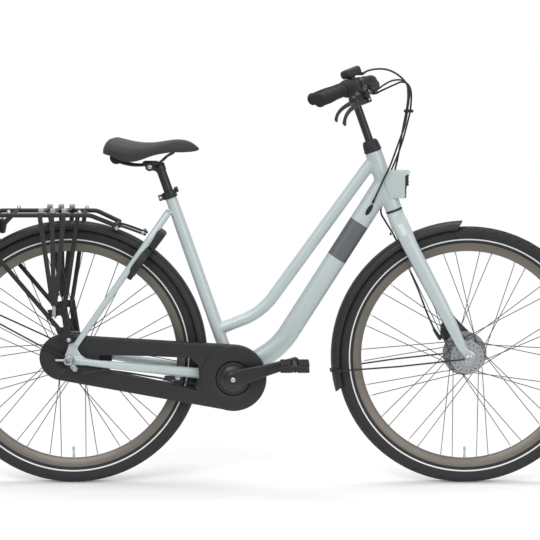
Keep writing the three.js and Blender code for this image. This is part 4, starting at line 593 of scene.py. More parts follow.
def stay_at(share, side_share, side):
    """A point down a seat stay, which moves outwards faster than it comes down."""
    top = on_seat(-17, side * STAY_TOP_SIDE, 476)
    foot = REAR_AXLE + Vector((18, side * STAY_FOOT_SIDE, 37)) * MM
    point = top.lerp(foot, share)
    point.y = top.y + (foot.y - top.y) * side_share
    return point


# A stay's row is a share of its length, a share of the way out, and shares of its largest width and height
SEATSTAY = [[0, 0, 1, 1], [0.2, 0.51, 1, 0.98], [0.89, 1, 0.58, 0.9], [1, 1, 0.55, 0.88]]
CHAINSTAY = [[0, 1.02, 0.67, 0.6], [0.14, 1.03, 0.72, 0.67], [0.185, 1, 0.72, 0.7], [0.44, 0.61, 1, 0.83],
             [0.67, 0.3, 0.89, 0.97], [0.79, 0.14, 0.83, 1], [1, 0, 0.89, 1]]
DROPOUT = [[-1, 393], [15, 398], [23, 391], [25, 376], [32, 364], [44, 355], [58, 352], [58, 338], [37, 334],
           [10, 336], [-10, 345], [-12, 362], [-6, 374], [-3, 384]]
for side in (-1, 1):
    across = (stay_at(1, 1, side) - stay_at(0, 0, side)).cross(SIDEWAYS).normalized()
    skin(bm, [(stay_at(share, side_share, side), SIDEWAYS * wide * 9.5 * MM, across * deep * 9.5 * MM)
              for share, side_share, wide, deep in SEATSTAY], 32)
    stays = []
    rear, front = at(15, 0, TYRE_RADIUS - 3), BRACKET - UP * 3.5 * MM
    for share, side_share, wide, high in CHAINSTAY:
        centre = rear.lerp(front, share)
        centre.y = side * (21 + (STAY_FOOT_SIDE - 21) * side_share) * MM
        stays.append((centre, SIDEWAYS * wide * 9 * MM, UP * high * 15 * MM))
    skin(bm, stays, 32)
    plate(bm, DROPOUT, side * 61, side * 67)
bridge_ends = [stay_at(0.2, 0.51, side) for side in (-1, 1)]
rod(bm, *bridge_ends, 6)
bridge = bridge_ends[0].lerp(bridge_ends[1], 0.5)
rod(bm, bridge, REAR_AXLE + (bridge - REAR_AXLE).normalized() * 367.3 * MM, 5)
block(bm, BRACKET + Vector((-50, 0, -4.5)) * MM, (16, 24, 4.5))
block(bm, at(KICKSTAND_X, 29, KICKSTAND_Z + 8), (12, 11, 19.5))
rod(bm, at(KICKSTAND_X, 34, KICKSTAND_Z), at(KICKSTAND_X, 54, KICKSTAND_Z), 5)
block(bm, at(288, -33, 295.4), (7, 3, 7.6))
welded(piece("frame_tubes", bm, enamel, "main_frame"), 2.35, 8)
print("frame faces:", made_pieces["frame_tubes"])

# %% [markdown]
# ## The fork
# The fork's crown flows into two blades that taper towards the axle, so it is melted the same way. Each row
# of BLADE is a height, how far ahead and how far out, and half the depth and width there, as shares of the
# largest.

# %% Fork
FORK_FOOT = ((44, -8), (53, -12), (62, -8), (63, 6), (60, 28), (40, 28), (43, 6))
BLADE_HEIGHT, BLADE_OUT, BLADE_DEPTH, BLADE_WIDTH = 432, 53, 43, 25
BLADE = [[0.05, 0.92, 0.98, 0.26, 0.22], [0.105, 0.86, 0.99, 0.31, 0.28], [0.23, 0.76, 0.965, 0.38, 0.4],
         [0.39, 0.59, 0.925, 0.42, 0.44], [0.58, 0.37, 0.89, 0.45, 0.46], [0.785, 0.13, 0.84, 0.48, 0.48],
         [0.856, 0.09, 0.79, 0.5, 0.5], [0.926, 0.04, 0.566, 0.51, 0.52], [1, 0, 0.17, 0.49, 0.4]]
bm = bmesh.new()
for side in (-1, 1):
    skin(bm, [(on_steer(ahead * FORK_RAKE, side * out * BLADE_OUT, up * BLADE_HEIGHT),
               STEER_FORWARD * deep * BLADE_DEPTH * MM, SIDEWAYS * wide * BLADE_WIDTH * MM)
              for up, ahead, out, deep, wide in BLADE], 32)
    foot = [on_steer(ahead, 0, up) for ahead, up in FORK_FOOT]
    plate(bm, [[(p.x - REAR_X) / MM, p.z / MM] for p in foot], side * 50, side * 56)
rod(bm, on_steer(0, 0, 385), on_steer(0, 0, 436), HEAD_RADIUS, sides=48)
rod(bm, on_steer(0, 0, 364.5), on_steer(0, 0, 388), 5)
rod(bm, on_steer(0, 0, 430), on_steer(0, 0, 611), 14.2)
welded(piece("fork_and_crown", bm, enamel, "fork"), 2.0, 6)
print("fork faces:", made_pieces["fork_and_crown"])

bm = bmesh.new()
bolt(bm, at(908, 0, 703), STEER_FORWARD, 5, 4)
bolt(bm, at(861, -20, 684), -STEER_FORWARD, 4, 5)
block(bm, at(900, 47, 620), (4, 6, 5), (STEER_FORWARD, SIDEWAYS, STEER_UP))
piece("fork_bolts_and_clip", bm, black_paint, body="steering")

# %% [markdown]
# ## Tyres
# A tyre is one profile of radii and half widths, spun round the axle. Its tread is cut by insetting every
# few faces and pushing them in, which gives real grooves. The faces between two radii take the reflective
# band's material.

# %% Tyres
TYRE = [[307, 12.9], [309, 13.7], [312, 14.4], [315, 15.2], [318.5, 16.6], [323.2, 18.2], [330, 19.8],
        [336, 19.4], [341, 17.6], [345.2, 14], [348.4, 9.6], [350.2, 5], [351, 0]]
BEAD = [[307, 12.6], [313.2, 12.6], [313.6, 9], [320, 9]]
TYRE_STEPS = 240


def tyre(end, centre):
    section = TYRE + [[radius, -side] for radius, side in TYRE[-2::-1] + BEAD] + BEAD[::-1]
    bm = bmesh.new()
    turned(bm, section, centre, SIDEWAYS, TYRE_STEPS, sideways=FORWARD)
    clean(bm)
    grooves = []
    for face in bm.faces:
        spot = (face.calc_center_median() - centre) / MM
        radius = math.hypot(spot.x, spot.z)
        if 315 < radius < 318.5 and abs(spot.y) > 14:
            face.material_index = 1
        step = spin_step(spot.z, spot.x, TYRE_STEPS)
        if radius > 338 and (step + round(radius - 338) // 3) % 4 == 0:
            grooves.append(face)
    bmesh.ops.inset_individual(bm, faces=grooves, thickness=0.8 * MM, depth=-1.1 * MM, use_even_offset=True)
    rubber, reflective, _, _ = WHEEL_FINISHES[end]
    piece(f"{end}_tyre_tread", bm, [rubber, reflective], f"{end}_tyre")


for end, centre in (("front", FRONT_AXLE), ("rear", REAR_AXLE)):
    tyre(end, centre)
print("tyre faces:", made_pieces["front_tyre_tread"])

# %% [markdown]
# ## Rims and spokes
# The rims are deep box sections, anodised in a warm grey. Thirty-six spokes leave each rim in pairs, one to
# each hub flange, and every second pair leans the other way, so their lines cross. Each spoke has a nipple
# at the rim and a bent head in its flange. The spokes are 2.2 mm thick, a little more than real ones, so
# that they show.

# %% Rims, valves and spokes
RIM = [[284, 0], [284.4, 4.6], [287.2, 7.4], [301.5, 12], [304, 12.5], [312.6, 12.5], [313, 11], [309, 9.8],
       [308.4, 8]]
RIM_STEPS = 180
SPOKES, SPOKE_RADIUS = 36, 1.1


def rim(end, centre):
    bm = bmesh.new()
    turned(bm, RIM + [[radius, -side] for radius, side in RIM[:0:-1]], centre, SIDEWAYS, RIM_STEPS)
    piece(f"{end}_rim_section", bm, WHEEL_FINISHES[end][2], f"{end}_rim")
    bm = bmesh.new()
    valve = [[0, 1], [3.4, 1], [3.4, -14], [2.6, -15], [2.6, -22], [3.5, -23], [3.5, -31], [2.4, -33],
             [0, -33]]
    turned(bm, valve, about(centre, 286, -90), -UP, 20)
    piece(f"{end}_valve", bm, zinc, body=f"{end}_wheel")


def spokes(end, centre, flanges, hole_radius):
    bm = bmesh.new()
    nipples = bmesh.new()
    for index in range(SPOKES):
        pair, out = index // 2, 1 if index % 2 == 0 else -1
        hand = 1 if pair % 2 == 0 else -1
        middle = -80 + pair * 20
        flange = flanges[0] if out > 0 else flanges[1]
        head = about(centre, hole_radius, middle + hand * 60, flange + hand * 2)
        tip = about(centre, 284.5, middle + out * 3.25, hand)
        rod(bm, head, tip, SPOKE_RADIUS, sides=6)
        rod(bm, head - SIDEWAYS * hand * 4 * MM, head + SIDEWAYS * hand * 1.2 * MM, 1.5, sides=8)
        inwards = (head - tip).normalized()
        rod(nipples, tip - inwards * MM, tip + inwards * 9 * MM, 2.1, 1.7, 8)
    piece(f"{end}_spokes", bm, spoke_steel, body=f"{end}_wheel")
    piece(f"{end}_spoke_nipples", nipples, zinc, body=f"{end}_wheel")


rim("front", FRONT_AXLE)
rim("rear", REAR_AXLE)
spokes("front", FRONT_AXLE, (-33, 22.5), 41)
spokes("rear", REAR_AXLE, (-26.5, 27.5), 33.5)
print("spoke faces:", made_pieces["front_spokes"])

# %% [markdown]
# ## Hubs
# Each hub is turned aluminium with a wide cooling disc on its left for the roller brake. The disc's air
# slots are faces pushed into the spun shape, and the spokes' heads are small domes on the right flange.

# %% Hubs
FRONT_HUB = [[5.5, -46], [20, -46], [22, -45], [23.5, -42], [24, -36.5], [44, -36], [45, -35], [45, -31],
             [44, -30], [38, -29.5], [35, -24], [33, 0], [35, 16], [38, 20], [42, 20.5], [42, 24.5],
             [21, 25], [20, 28], [48, 28], [59, 28], [60, 29], [60, 34], [59, 35], [48, 35], [30, 35],
             [5.5, 35]]
REAR_HUB = [[5.5, -36], [19, -36], [20, -35], [23, -29.5], [36, -29], [37, -28], [37, -25], [36, -24],
            [29, -20], [27, 0], [28, 21], [36, 25], [37, 26], [37, 29], [36, 30], [23, 30], [22, 37],
            [48, 37], [59, 37], [60, 38], [60, 43], [59, 44], [48, 44], [30, 44], [5.5, 44]]
HUB_STEPS = 72


def hub(end, centre, profile, disc, heads_radius, heads_side):
    bm = bmesh.new()
    turned(bm, profile, centre, SIDEWAYS, HUB_STEPS)
    clean(bm)
    slots = []
    for face in bm.faces:
        spot = (face.calc_center_median() - centre) / MM
        radius = math.hypot(spot.x, spot.z)
        step = spin_step(spot.z, spot.x, HUB_STEPS)
        if 50 < radius < 58 and spot.y > disc - 1 and abs(face.normal.y) > 0.9 and step % 4 < 3:
            slots.append(face)
    bmesh.ops.inset_region(bm, faces=slots, thickness=0.8 * MM, depth=-2 * MM, use_even_offset=True)
    piece(f"{end}_hub_shell", bm, WHEEL_FINISHES[end][3], f"{end}_hub")
    heads = bmesh.new()
    for step in range(SPOKES // 2):
        bolt(heads, about(centre, heads_radius, 5 + step * 20, heads_side), -SIDEWAYS, 1.9, 0.9, 10)
    piece(f"{end}_hub_spoke_heads", heads, spoke_steel, body=f"{end}_wheel")


hub("front", FRONT_AXLE, FRONT_HUB, 28, 36.5, -36.1)
hub("rear", REAR_AXLE, REAR_HUB, 37, 32, -29)
print("hub faces:", made_pieces["front_hub_shell"])

# %% [markdown]
# ## Fenders
# A fender is moulded ABS with a rounded crown and edges that are turned down. Its section is spun through an
# arc round the wheel, and its closed ends are then slanted, so that the edges reach further than the crown.
# A row of FENDER is a distance to the side and the drop below the crown.

# %% Fenders
FENDER = [[0, 0], [9, -0.6], [17, -2.6], [23, -6], [26.6, -10.5], [28, -15], [28, -22]]
FENDER_DEPTH = 22


def fender(end, centre, start, stop, slants):
    outer = [[FENDER_RADIUS + down, side] for side, down in FENDER]
    inner = [[FENDER_RADIUS + down - (1.8 if side < 20 else 0.6), side - (0 if side < 20 else 1.7)]
             for side, down in FENDER]
    section = outer + inner[::-1] + [[radius, -side] for radius, side in inner[1:] + outer[:0:-1]]
    heading = about(Vector(), 1000, start)
    bm = bmesh.new()
    points = [centre + (heading * radius + SIDEWAYS * side) * MM for radius, side in section]
    turn = stop - start
    spun_arc(bm, points, centre, -SIDEWAYS, turn, round(turn / 2.5))
    for vert in bm.verts:
        spot = vert.co - centre
        radius = math.hypot(spot.x, spot.z)
        angle = math.degrees(math.atan2(spot.z, spot.x)) % 360
        down = (FENDER_RADIUS - radius / MM) / FENDER_DEPTH
        share = (angle - start) / turn
        slant = down * (slants[0] * (1 - share) - slants[1] * share)
        vert.co = about(centre, radius / MM, angle + slant, spot.y / MM)
    piece(f"{end}_fender_blade", bm, moulded_abs, f"{end}_fender")


fender("front", FRONT_AXLE, 92.4, 195.6, (3, 2.2))
fender("rear", REAR_AXLE, 5, 205, (0, 2.2))
print("fender faces:", made_pieces["rear_fender_blade"])

# %% [markdown]
# ## Fender stays and axles
# One steel wire runs over each fender and down to an eye on either end of the axle, under the wheel nuts. A
# nut is a six sided cylinder with a chamfered end, on a turned flange.

# %% Fender stays and axles
def fender_stay(end, centre, angle, half_over, knee):
    eye_side = half_over + 2.7
    half = [[6.8, eye_side], [knee, eye_side - 0.4], [335, 31], [360.5, 31], [369.5, 18.4]]
    corners = [about(centre, radius, angle, -side) for radius, side in half]
    corners += [about(centre, radius, angle, side) for radius, side in half[::-1]]
    bm = bmesh.new()
    tube(bm, bent(corners, 8, 6), 2.2, 12)
    for side in (-1, 1):
        eye = [[5.5, -2.3], [6, -2.4], [8.6, -2.4], [9, -2], [9, 2], [8.6, 2.4], [6, 2.4], [5.5, 2.3]]
        turned(bm, eye, centre + SIDEWAYS * side * eye_side * MM, SIDEWAYS, 32)
        grip = about(centre, 350, angle, side * 31)
        block(bm, grip, (5, 8, 3), (UP, FORWARD, SIDEWAYS))
    piece(f"{end}_fender_stay_wire", bm, powder_coat, f"{end}_fender_stay")


def hex_nut(bm, centre, axis, radius, height):
    u = axis.orthogonal().normalized()
    skin(bm, [(centre + axis * h * MM, u * r * MM, axis.cross(u) * r * MM)
              for h, r in ((1, radius), (height - 1, radius), (height, radius * 0.86))], 6)
    turned(bm, [[5.2, 0], [radius + 1, 0], [radius + 1, 0.8], [radius, 1.4], [5.2, 1.4]], centre, axis, 32)


def axle(end, centre, half_over):
    bm = bmesh.new()
    tip = half_over + 17.4
    profile = [[0, -tip], [4.2, -tip], [4.9, -tip + 1], [4.9, tip - 1], [4.2, tip], [0, tip]]
    turned(bm, profile, centre, SIDEWAYS, 24)
    for side in (-1, 1):
        hex_nut(bm, centre + SIDEWAYS * side * (half_over + 5.4) * MM, SIDEWAYS * side, 10, 8)
    if end == "rear":
        rod(bm, centre + Vector((0, -77.5, 0)) * MM, centre + Vector((-34, -77.5, 0)) * MM, 3)
    piece(f"{end}_axle_and_nuts", bm, zinc, f"{end}_axle")


fender_stay("front", FRONT_AXLE, 186.3, 56, 190)
fender_stay("rear", REAR_AXLE, 153.1, 67, 95)
axle("front", FRONT_AXLE, 56)
axle("rear", REAR_AXLE, 67)
print("axle faces:", made_pieces["rear_axle_and_nuts"])

# %% [markdown]
# ## Roller brakes and the gear control
# The brakes are on the left of the hubs. Their castings are only seen past the spokes, so the CAD solids are
# kept in shape and have their edges rounded, and the front one gets its dark wing. The bell crank on the
# right end of the axle, which the gear cable pulls, is cast aluminium.

# %% Brakes and bell crank
for end in ("front", "rear"):
    piece(f"{end}_roller_brake", copy_of(f"{end}_brake_arm", 0.8), black_paint, f"{end}_brake_arm")
for end in ("front", "rear"):
    piece(f"{end}_brake_cam_lever", copy_of(f"{end}_brake_cam", 0.8), zinc, f"{end}_brake_cam")

bm = bmesh.new()
wing = [[1003, 428], [1022, 446], [1042, 449], [1085, 405], [1068, 386], [1030, 376], [1012, 392]]
plate(bm, wing, 36.5, 45.5)
round_edges(bm, 2, 3)
piece("front_roller_brake_wing", bm, black_paint, body="steering")
bm = bmesh.new()
rod(bm, at(985, 42, 415), at(1001, 42, 391), 4.2, 5.4)
bolt(bm, at(1001, 38, 391), -SIDEWAYS, 5, 3)
piece("front_brake_cable_anchor", bm, black_paint, body="steering")

bm = bmesh.new()
bell = [[5.5, -80.8], [9, -80.8], [11.4, -81.6], [12, -83], [12, -89], [11.2, -91.4], [9, -92.6],
        [5.5, -92.6]]
turned(bm, bell, REAR_AXLE, SIDEWAYS, 40)
elbow = REAR_AXLE - SIDEWAYS * 86.7 * MM
reach = about(Vector(), 1000, -50)
shaft = [[0, 6], [6, 6], [6, 12], [5.2, 13], [5.2, 15], [7.6, 16.6], [7.6, 32], [6.6, 33.6], [2.6, 34],
         [2.6, 36], [0, 36]]
turned(bm, shaft, elbow, reach, 32)
piece("gear_bell_crank", bm, cast_aluminium, "bell_crank")
print("bell crank faces:", made_pieces["gear_bell_crank"])

# %% [markdown]
# ## The chaincase
# Two moulded shells close round the whole chain and meet along their edges. Each is an outline round two
# circles, filled with its window left open. Its rim is drawn out, rounded and given a wall. On the outer
# shell a raised disc surrounds the crank.

# %% Chaincase shells
# A corner of the window is a share of the way from the axle to the bracket, and its height above that line
# as a share of the case's radius at the rear
WINDOW = [[0.183, 0.335], [0.493, 0.551], [0.737, 0.678], [0.785, 0.41], [0.792, -0.148], [0.778, -0.719],
          [0.554, -0.551], [0.267, -0.358], [0.205, -0.247], [0.173, 0.018]]
CASE_REAR, CASE_REAR_RADIUS, CASE_FRONT_RADIUS = [-19, 353.7], 61.5, 89
window = [[BRACKET_X * share, TYRE_RADIUS - (TYRE_RADIUS - BRACKET_Z) * share + rise * CASE_REAR_RADIUS]
          for share, rise in WINDOW]


def circle_points(x, z, radius, steps=48):
    return [[x + radius * math.cos(2 * math.pi * i / steps), z + radius * math.sin(2 * math.pi * i / steps)]
            for i in range(steps)]


def belt(rear, rear_radius, front, front_radius, steps=28):
    run = Vector((front[0] - rear[0], front[1] - rear[1]))
    tilt = math.atan2(run.y, run.x)
    spread = math.acos((rear_radius - front_radius) / run.length)
    points = []
    for centre, radius, start, stop in ((rear, rear_radius, tilt + spread, tilt + 2 * math.pi - spread),
                                        (front, front_radius, tilt - spread, tilt + spread)):
        for i in range(steps + 1):
            angle = start + (stop - start) * i / steps
            points.append([centre[0] + radius * math.cos(angle), centre[1] + radius * math.sin(angle)])
    return points


case_outline = belt(CASE_REAR, CASE_REAR_RADIUS, [BRACKET_X, BRACKET_Z], CASE_FRONT_RADIUS)


def case_shell(name, node, face_side, edge_side, holes, rounding):
    bm = bmesh.new()
    outline = wire(bm, [at(x, face_side, z) for x, z in case_outline])
    opening = wire(bm, [at(x, face_side, z) for x, z in window])
    edges = outline + opening
    for x, z, radius in holes:
        edges += wire(bm, [at(px, face_side, pz) for px, pz in circle_points(x, z, radius)])
    bmesh.ops.triangle_fill(bm, use_beauty=True, use_dissolve=False, edges=edges)
    drawn = bmesh.ops.extrude_edge_only(bm, edges=outline + opening)
    bmesh.ops.translate(bm, verts=new_verts(drawn), vec=SIDEWAYS * (edge_side - face_side) * MM)
    bmesh.ops.bevel(bm, geom=outline, offset=rounding * MM, offset_type="OFFSET", segments=5, profile=0.5,
                    affect="EDGES", material=-1)
    shell = piece(name, bm, moulded_abs, node, sharp=50)
    wall = shell.modifiers.new("Wall", "SOLIDIFY")
    wall.thickness = 2 * MM
    wall.offset = -1


case_shell("chaincase_outer_shell", "chaincase_outer", -60.5, -47.6,
           [(BRACKET_X, BRACKET_Z, 47), (0, TYRE_RADIUS, 12)], 5)
case_shell("chaincase_inner_shell", "chaincase_inner", -37, -47.4,
           [(BRACKET_X, BRACKET_Z, 24), (0, TYRE_RADIUS, 25)], 3)
bm = bmesh.new()
disc = [[47.6, -60], [47.6, -62.4], [48.4, -63], [85.4, -63], [87.6, -62.4], [88.6, -61.6], [88.9, -60.4]]
turned(bm, disc, BRACKET, SIDEWAYS, 96)
piece("chaincase_crank_disc", bm, moulded_abs, body="frame")
print("chaincase faces:", made_pieces["chaincase_outer_shell"])

# %% [markdown]
# ## The drive inside
# The chain, the bottom bracket and the crank axle sit inside the case and the frame and barely show. They
# keep their CAD shapes with softened edges. The chainring and sprocket are toothed plates.

# %% Drive
for node, name, material in (
    ("chain", "chain_links", chain_steel), ("bottom_bracket", "bottom_bracket_cups", zinc),
    ("crank_axle", "crank_axle_spindle", zinc),
):
    piece(name, copy_of(node, 0.3, 1), material, node)


TOOTH_SIDES = (-48.2, -45.8)


def toothed(x, z, teeth):
    """The outline of a chain wheel, with a tooth at each link of the chain."""
    pitch_radius = CHAIN_PITCH / (2 * math.sin(math.pi / teeth))
    points = []
    for i in range(teeth):
        for share, radius in ((-0.32, -3.4), (-0.12, 3), (0.12, 3), (0.32, -3.4)):
            angle = 2 * math.pi * (i + share) / teeth
            points.append([x + (pitch_radius + radius) * math.cos(angle),
                           z + (pitch_radius + radius) * math.sin(angle)])
    return points


bm = bmesh.new()
plate(bm, toothed(0, TYRE_RADIUS, SPROCKET_TEETH), *TOOTH_SIDES, [circle_points(0, TYRE_RADIUS, 13)])
sleeve = [[13, -53.6], [15, -53.6], [16, -52.6], [16, -37.6], [15, -36.6], [13, -36.6]]
turned(bm, sleeve, REAR_AXLE, SIDEWAYS, 48)
piece("rear_sprocket", bm, chain_steel, "sprocket")
print("sprocket faces:", made_pieces["rear_sprocket"])

# %% [markdown]
# ## Cranks
# A forged crank arm tapers from its boss to the pedal eye and leans outwards. It is an outline that is
# extruded, leaned, and given wide rounded edges. The right one carries the chainring and a stepped cover
# disc, which fills the round hole in the chaincase.

# %% Cranks
# A row is a share of the arm's length and half the width there
ARM = [[0, 22], [0.12, 21.6], [0.24, 20.6], [0.34, 18.8], [0.46, 16.4], [0.7, 14.2], [0.88, 13.2]]


def crank_arm(bm, side):
    turn = math.radians(CRANK_ANGLE if side < 0 else CRANK_ANGLE + 180)
    out, across = Vector((math.cos(turn), math.sin(turn))), Vector((-math.sin(turn), math.cos(turn)))
    foot = Vector((BRACKET_X, BRACKET_Z))
    eye = foot + out * CRANK_LENGTH
    upper = [foot + out * share * CRANK_LENGTH + across * half for share, half in ARM]
    lower = [foot + out * share * CRANK_LENGTH - across * half for share, half in ARM]

    def round_end(centre, radius, step):
        angles = [math.radians(degrees) for degrees in range(-70, 71, step)]
        return [centre + (out * math.cos(a) + across * math.sin(a)) * radius for a in angles]

    outline = [[p.x, p.y] for p in lower + round_end(eye, 14, 10) + upper[::-1] + round_end(foot, -22, 20)]
    inner, outer = (66.5, 80) if side > 0 else (-66.5, -80)
    plate(bm, outline, inner, outer)
    round_edges(bm, 3.4, 4)
    for vert in bm.verts:
        share = (vert.co - BRACKET).dot(Vector((out.x, 0, out.y))) / (CRANK_LENGTH * MM)
        vert.co.y += side * 10 * MM * min(max(share, 0), 1)
    pedal_eye = at(eye.x, 0, eye.y)
    spindle = [[0, 76], [9, 76], [9, 91.6], [7, 92], [6.4, 94], [6.4, 171], [5.4, 172], [0, 172]]
    turned(bm, spindle, pedal_eye, SIDEWAYS * side, 32)
    return pedal_eye


bm = bmesh.new()
right_eye = crank_arm(bm, -1)
boss = [[9, 45.8], [18, 45.8], [18, 59.4], [43.6, 59.4], [44.6, 60.2], [44.6, 62.6], [44, 63.2],
        [37.2, 63.4], [36.6, 64], [36.6, 66.4], [35.8, 67.8], [30, 70.2], [24.6, 74.4], [21.4, 78],
        [19, 80.2], [15, 81.2], [9.5, 81.2], [9, 80]]
turned(bm, boss, BRACKET, -SIDEWAYS, 64)
plate(bm, toothed(BRACKET_X, BRACKET_Z, CHAINRING_TEETH), *TOOTH_SIDES,
      [circle_points(BRACKET_X, BRACKET_Z, 17)])
piece("right_crank_arm", bm, black_paint, "right_crank")
bm = bmesh.new()
for side in (-1, 1):
    bolt(bm, BRACKET + SIDEWAYS * side * 82.5 * MM, SIDEWAYS * side, 6.6, 2.4)
piece("crank_bolts", bm, zinc, body="crankset")
bm = bmesh.new()
left_eye = crank_arm(bm, 1)
left_boss = [[9, 66.6], [18, 66.6], [19.6, 67.6], [20, 69], [20, 80.5], [18.6, 82.6], [16, 83], [9, 83]]
turned(bm, left_boss, BRACKET, SIDEWAYS, 48)
piece("left_crank_arm", bm, black_paint, "left_crank")
print("crank faces:", made_pieces["right_crank_arm"])

# %% [markdown]
# ## Pedals
# A pedal is a black cage with a rubber tread above and below, grooved across for grip, and an amber
# reflector on each long edge, as road rules ask. The grooves are real: the tread is a row of ribs on a base.

# %% Pedals
def pedal(name, node, eye, side):
    middle = eye + SIDEWAYS * side * 139.5 * MM
    cage, rubber, reflector = bmesh.new(), bmesh.new(), bmesh.new()
    barrel = [[6.6, -46.6], [7.6, -46.6], [8.5, -45.6], [8.5, 45.6], [7.6, 46.6], [6.6, 46.6]]
    turned(cage, barrel, middle, SIDEWAYS, 32)
    for end in (-1, 1):
        block(cage, middle + SIDEWAYS * end * 43.5 * MM, (36, 2.5, 7.7))
        block(cage, middle + FORWARD * end * 33 * MM, (2, 44, 7.4))
        block(reflector, middle + FORWARD * end * 35.6 * MM, (1.4, 24, 5.4))
        for tooth in range(9):
            for way in (-1, 1):
                spot = middle + (SIDEWAYS * end * 43.5 + FORWARD * (tooth - 4) * 8 + UP * way * 8.6) * MM
                block(cage, spot, (2.2, 2.2, 1.5))
        for row in (-1, 1):
            base = middle + (FORWARD * row * 24 + UP * end * 6.6) * MM
            block(rubber, base, (14, 40, 2.4))
            for rib in range(9):
                spot = base + (SIDEWAYS * (rib - 4) * 9.2 + UP * end * 3) * MM
                block(rubber, spot, (13.4, 2.8, 1.3))
    round_edges(cage, 1)
    round_edges(rubber, 0.6)
    piece(name, cage, moulded_abs, node)
    piece(f"{name}_treads", rubber, soft_rubber, body=BODY_OF[node])
    piece(f"{name}_reflectors", reflector, amber_lens, body=BODY_OF[node])


pedal("right_pedal_cage", "right_pedal", right_eye, -1)
pedal("left_pedal_cage", "left_pedal", left_eye, 1)
print("pedal faces:", made_pieces["right_pedal_cage"])

# %% [markdown]
# ## Headset and stem
# The upper headset cup carries a tall moulded cone that keeps rain out of the bearing. The quill stem comes
# up through it and ends in a short arm that clamps the handlebar with a silver bolt.

# %% Headset and stem
BAR_AHEAD, BAR_UP = 57, 771
bm = bmesh.new()
cone = [[14.6, 606.4], [23.4, 606.4], [24, 607.4], [24, 611], [23.2, 612], [22.8, 613.4], [23, 615],
        [22.6, 620], [21.6, 627], [20, 633], [17.4, 636.6], [14.4, 637.3], [11.4, 637.3], [11.4, 612],
        [14.6, 611.4]]
turned(bm, cone, STEER_FOOT, STEER_UP, 64)
piece("upper_headset_cone", bm, moulded_abs, "upper_headset_cup")
bm = bmesh.new()
race = [[14.6, 436.4], [22.6, 436.4], [23.2, 437], [23.2, 439], [22.6, 439.7], [14.6, 439.7]]
turned(bm, race, STEER_FOOT, STEER_UP, 64)
piece("lower_headset_race", bm, black_paint, "lower_headset_cup")

bm = bmesh.new()
rod(bm, on_steer(0, 0, 500), on_steer(0, 0, 757), 10.9, sides=48)
neck = [[10.8, 742], [14.6, 743], [17, 746], [17, 752], [16.4, 756], [14, 764], [11, 766.6], [0, 767]]
turned(bm, neck + [[0, 742]], STEER_FOOT, STEER_UP, 48)
rod(bm, on_steer(0, 0, 754), on_steer(BAR_AHEAD, 0, BAR_UP), 14, 12, sides=40)
clamp = [[11.2, -21], [16, -21], [17, -20], [17, 20], [16, 21], [11.2, 21]]
turned(bm, clamp, on_steer(BAR_AHEAD, 0, BAR_UP), SIDEWAYS, 48)
piece("quill_stem", bm, black_paint, "stem")
bm = bmesh.new()
bolt(bm, on_steer(0, 0, 766.6), STEER_UP, 5.5, 3)
bolt(bm, on_steer(43, -17, 761), -SIDEWAYS, 4, 6)
piece("stem_bolts", bm, zinc, body="steering")
print("stem faces:", made_pieces["quill_stem"])

# %% [markdown]
# ## Handlebar and grips
# A city handlebar sweeps back so that the rider sits upright: a straight middle, then a bend to each grip.
# The grips are turned rubber with a palm swell and rings at the end. The right one is short, for the twist
# shifter next to it, which has finger ridges raised from its faces.

# %% Handlebar and grips
def bar_end(side):
    return on_steer(-97, side * 300, 787)


def bar_bend(side):
    return on_steer(55, side * 105, 791)


def bar_axes(side):
    """Directions along a grip inwards, over it, and ahead of it."""
    inward = (bar_bend(side) - bar_end(side)).normalized()
    over = (STEER_UP - inward * STEER_UP.dot(inward)).normalized()
    return inward, over, inward.cross(over) * side


def on_bar(side, distance, ahead=0, up=0):
    inward, over, forward = bar_axes(side)
    return bar_end(side) + (inward * distance + forward * ahead + over * up) * MM


bm = bmesh.new()
half = [bar_end(1), bar_bend(1), on_steer(BAR_AHEAD, 55, BAR_UP)]
mirrored = [Vector((p.x, -p.y, p.z)) for p in half[::-1]]
tube(bm, bent(half + mirrored, 60, 12), 11, 40)
piece("handlebar_tube", bm, powder_coat, "handlebar")

for side, name, length in ((1, "left_grip", 150), (-1, "right_grip", 106)):
    profile = [[0, -6], [12.6, -6], [16, -5], [17.4, -3], [17.7, 1], [17.2, 3.4], [15.6, 5], [15.6, 7],
               [16.4, 9], [17.4, 0.3 * length], [17.3, 0.4 * length], [15.8, 0.62 * length]]
    for start in [share * length for share in (0.66, 0.74, 0.82, 0.9)]:
        profile += [[15.7, start], [14.9, start + 1], [14.9, start + 3], [15.7, start + 4]]
    profile += [[15.4, length - 1], [14.6, length], [11.2, length], [11.2, 0.5], [0, 0.5]]
    bm = bmesh.new()
    turned(bm, profile, bar_end(side), bar_axes(side)[0], 48)
    piece(f"{name}_rubber", bm, soft_rubber, name)

TWIST_STEPS = 40
bm = bmesh.new()
twist = [[11.2, 107.2], [16.6, 107.2], [17.6, 108.6], [19, 113], [22.4, 121], [22.4, 135], [19, 142],
         [17.6, 147.6], [16.6, 148.8], [11.2, 148.8]]
inward, over, ahead = bar_axes(-1)
turned(bm, twist, bar_end(-1), inward, TWIST_STEPS)
clean(bm)
ridges = []
for face in bm.faces:
    spot = face.calc_center_median() - bar_end(-1)
    distance = spot.dot(inward) / MM
    step = spin_step(spot.dot(over), spot.dot(ahead), TWIST_STEPS)
    if 113 < distance < 142 and (spot - inward * spot.dot(inward)).length > 17 * MM and step % 2 == 0:
        ridges.append(face)
bmesh.ops.inset_individual(bm, faces=ridges, thickness=0.5 * MM, depth=0.5 * MM, use_even_offset=True)
piece("twist_shifter_rubber", bm, soft_rubber, "twist_grip")
print("grip faces:", made_pieces["left_grip_rubber"], made_pieces["twist_shifter_rubber"])

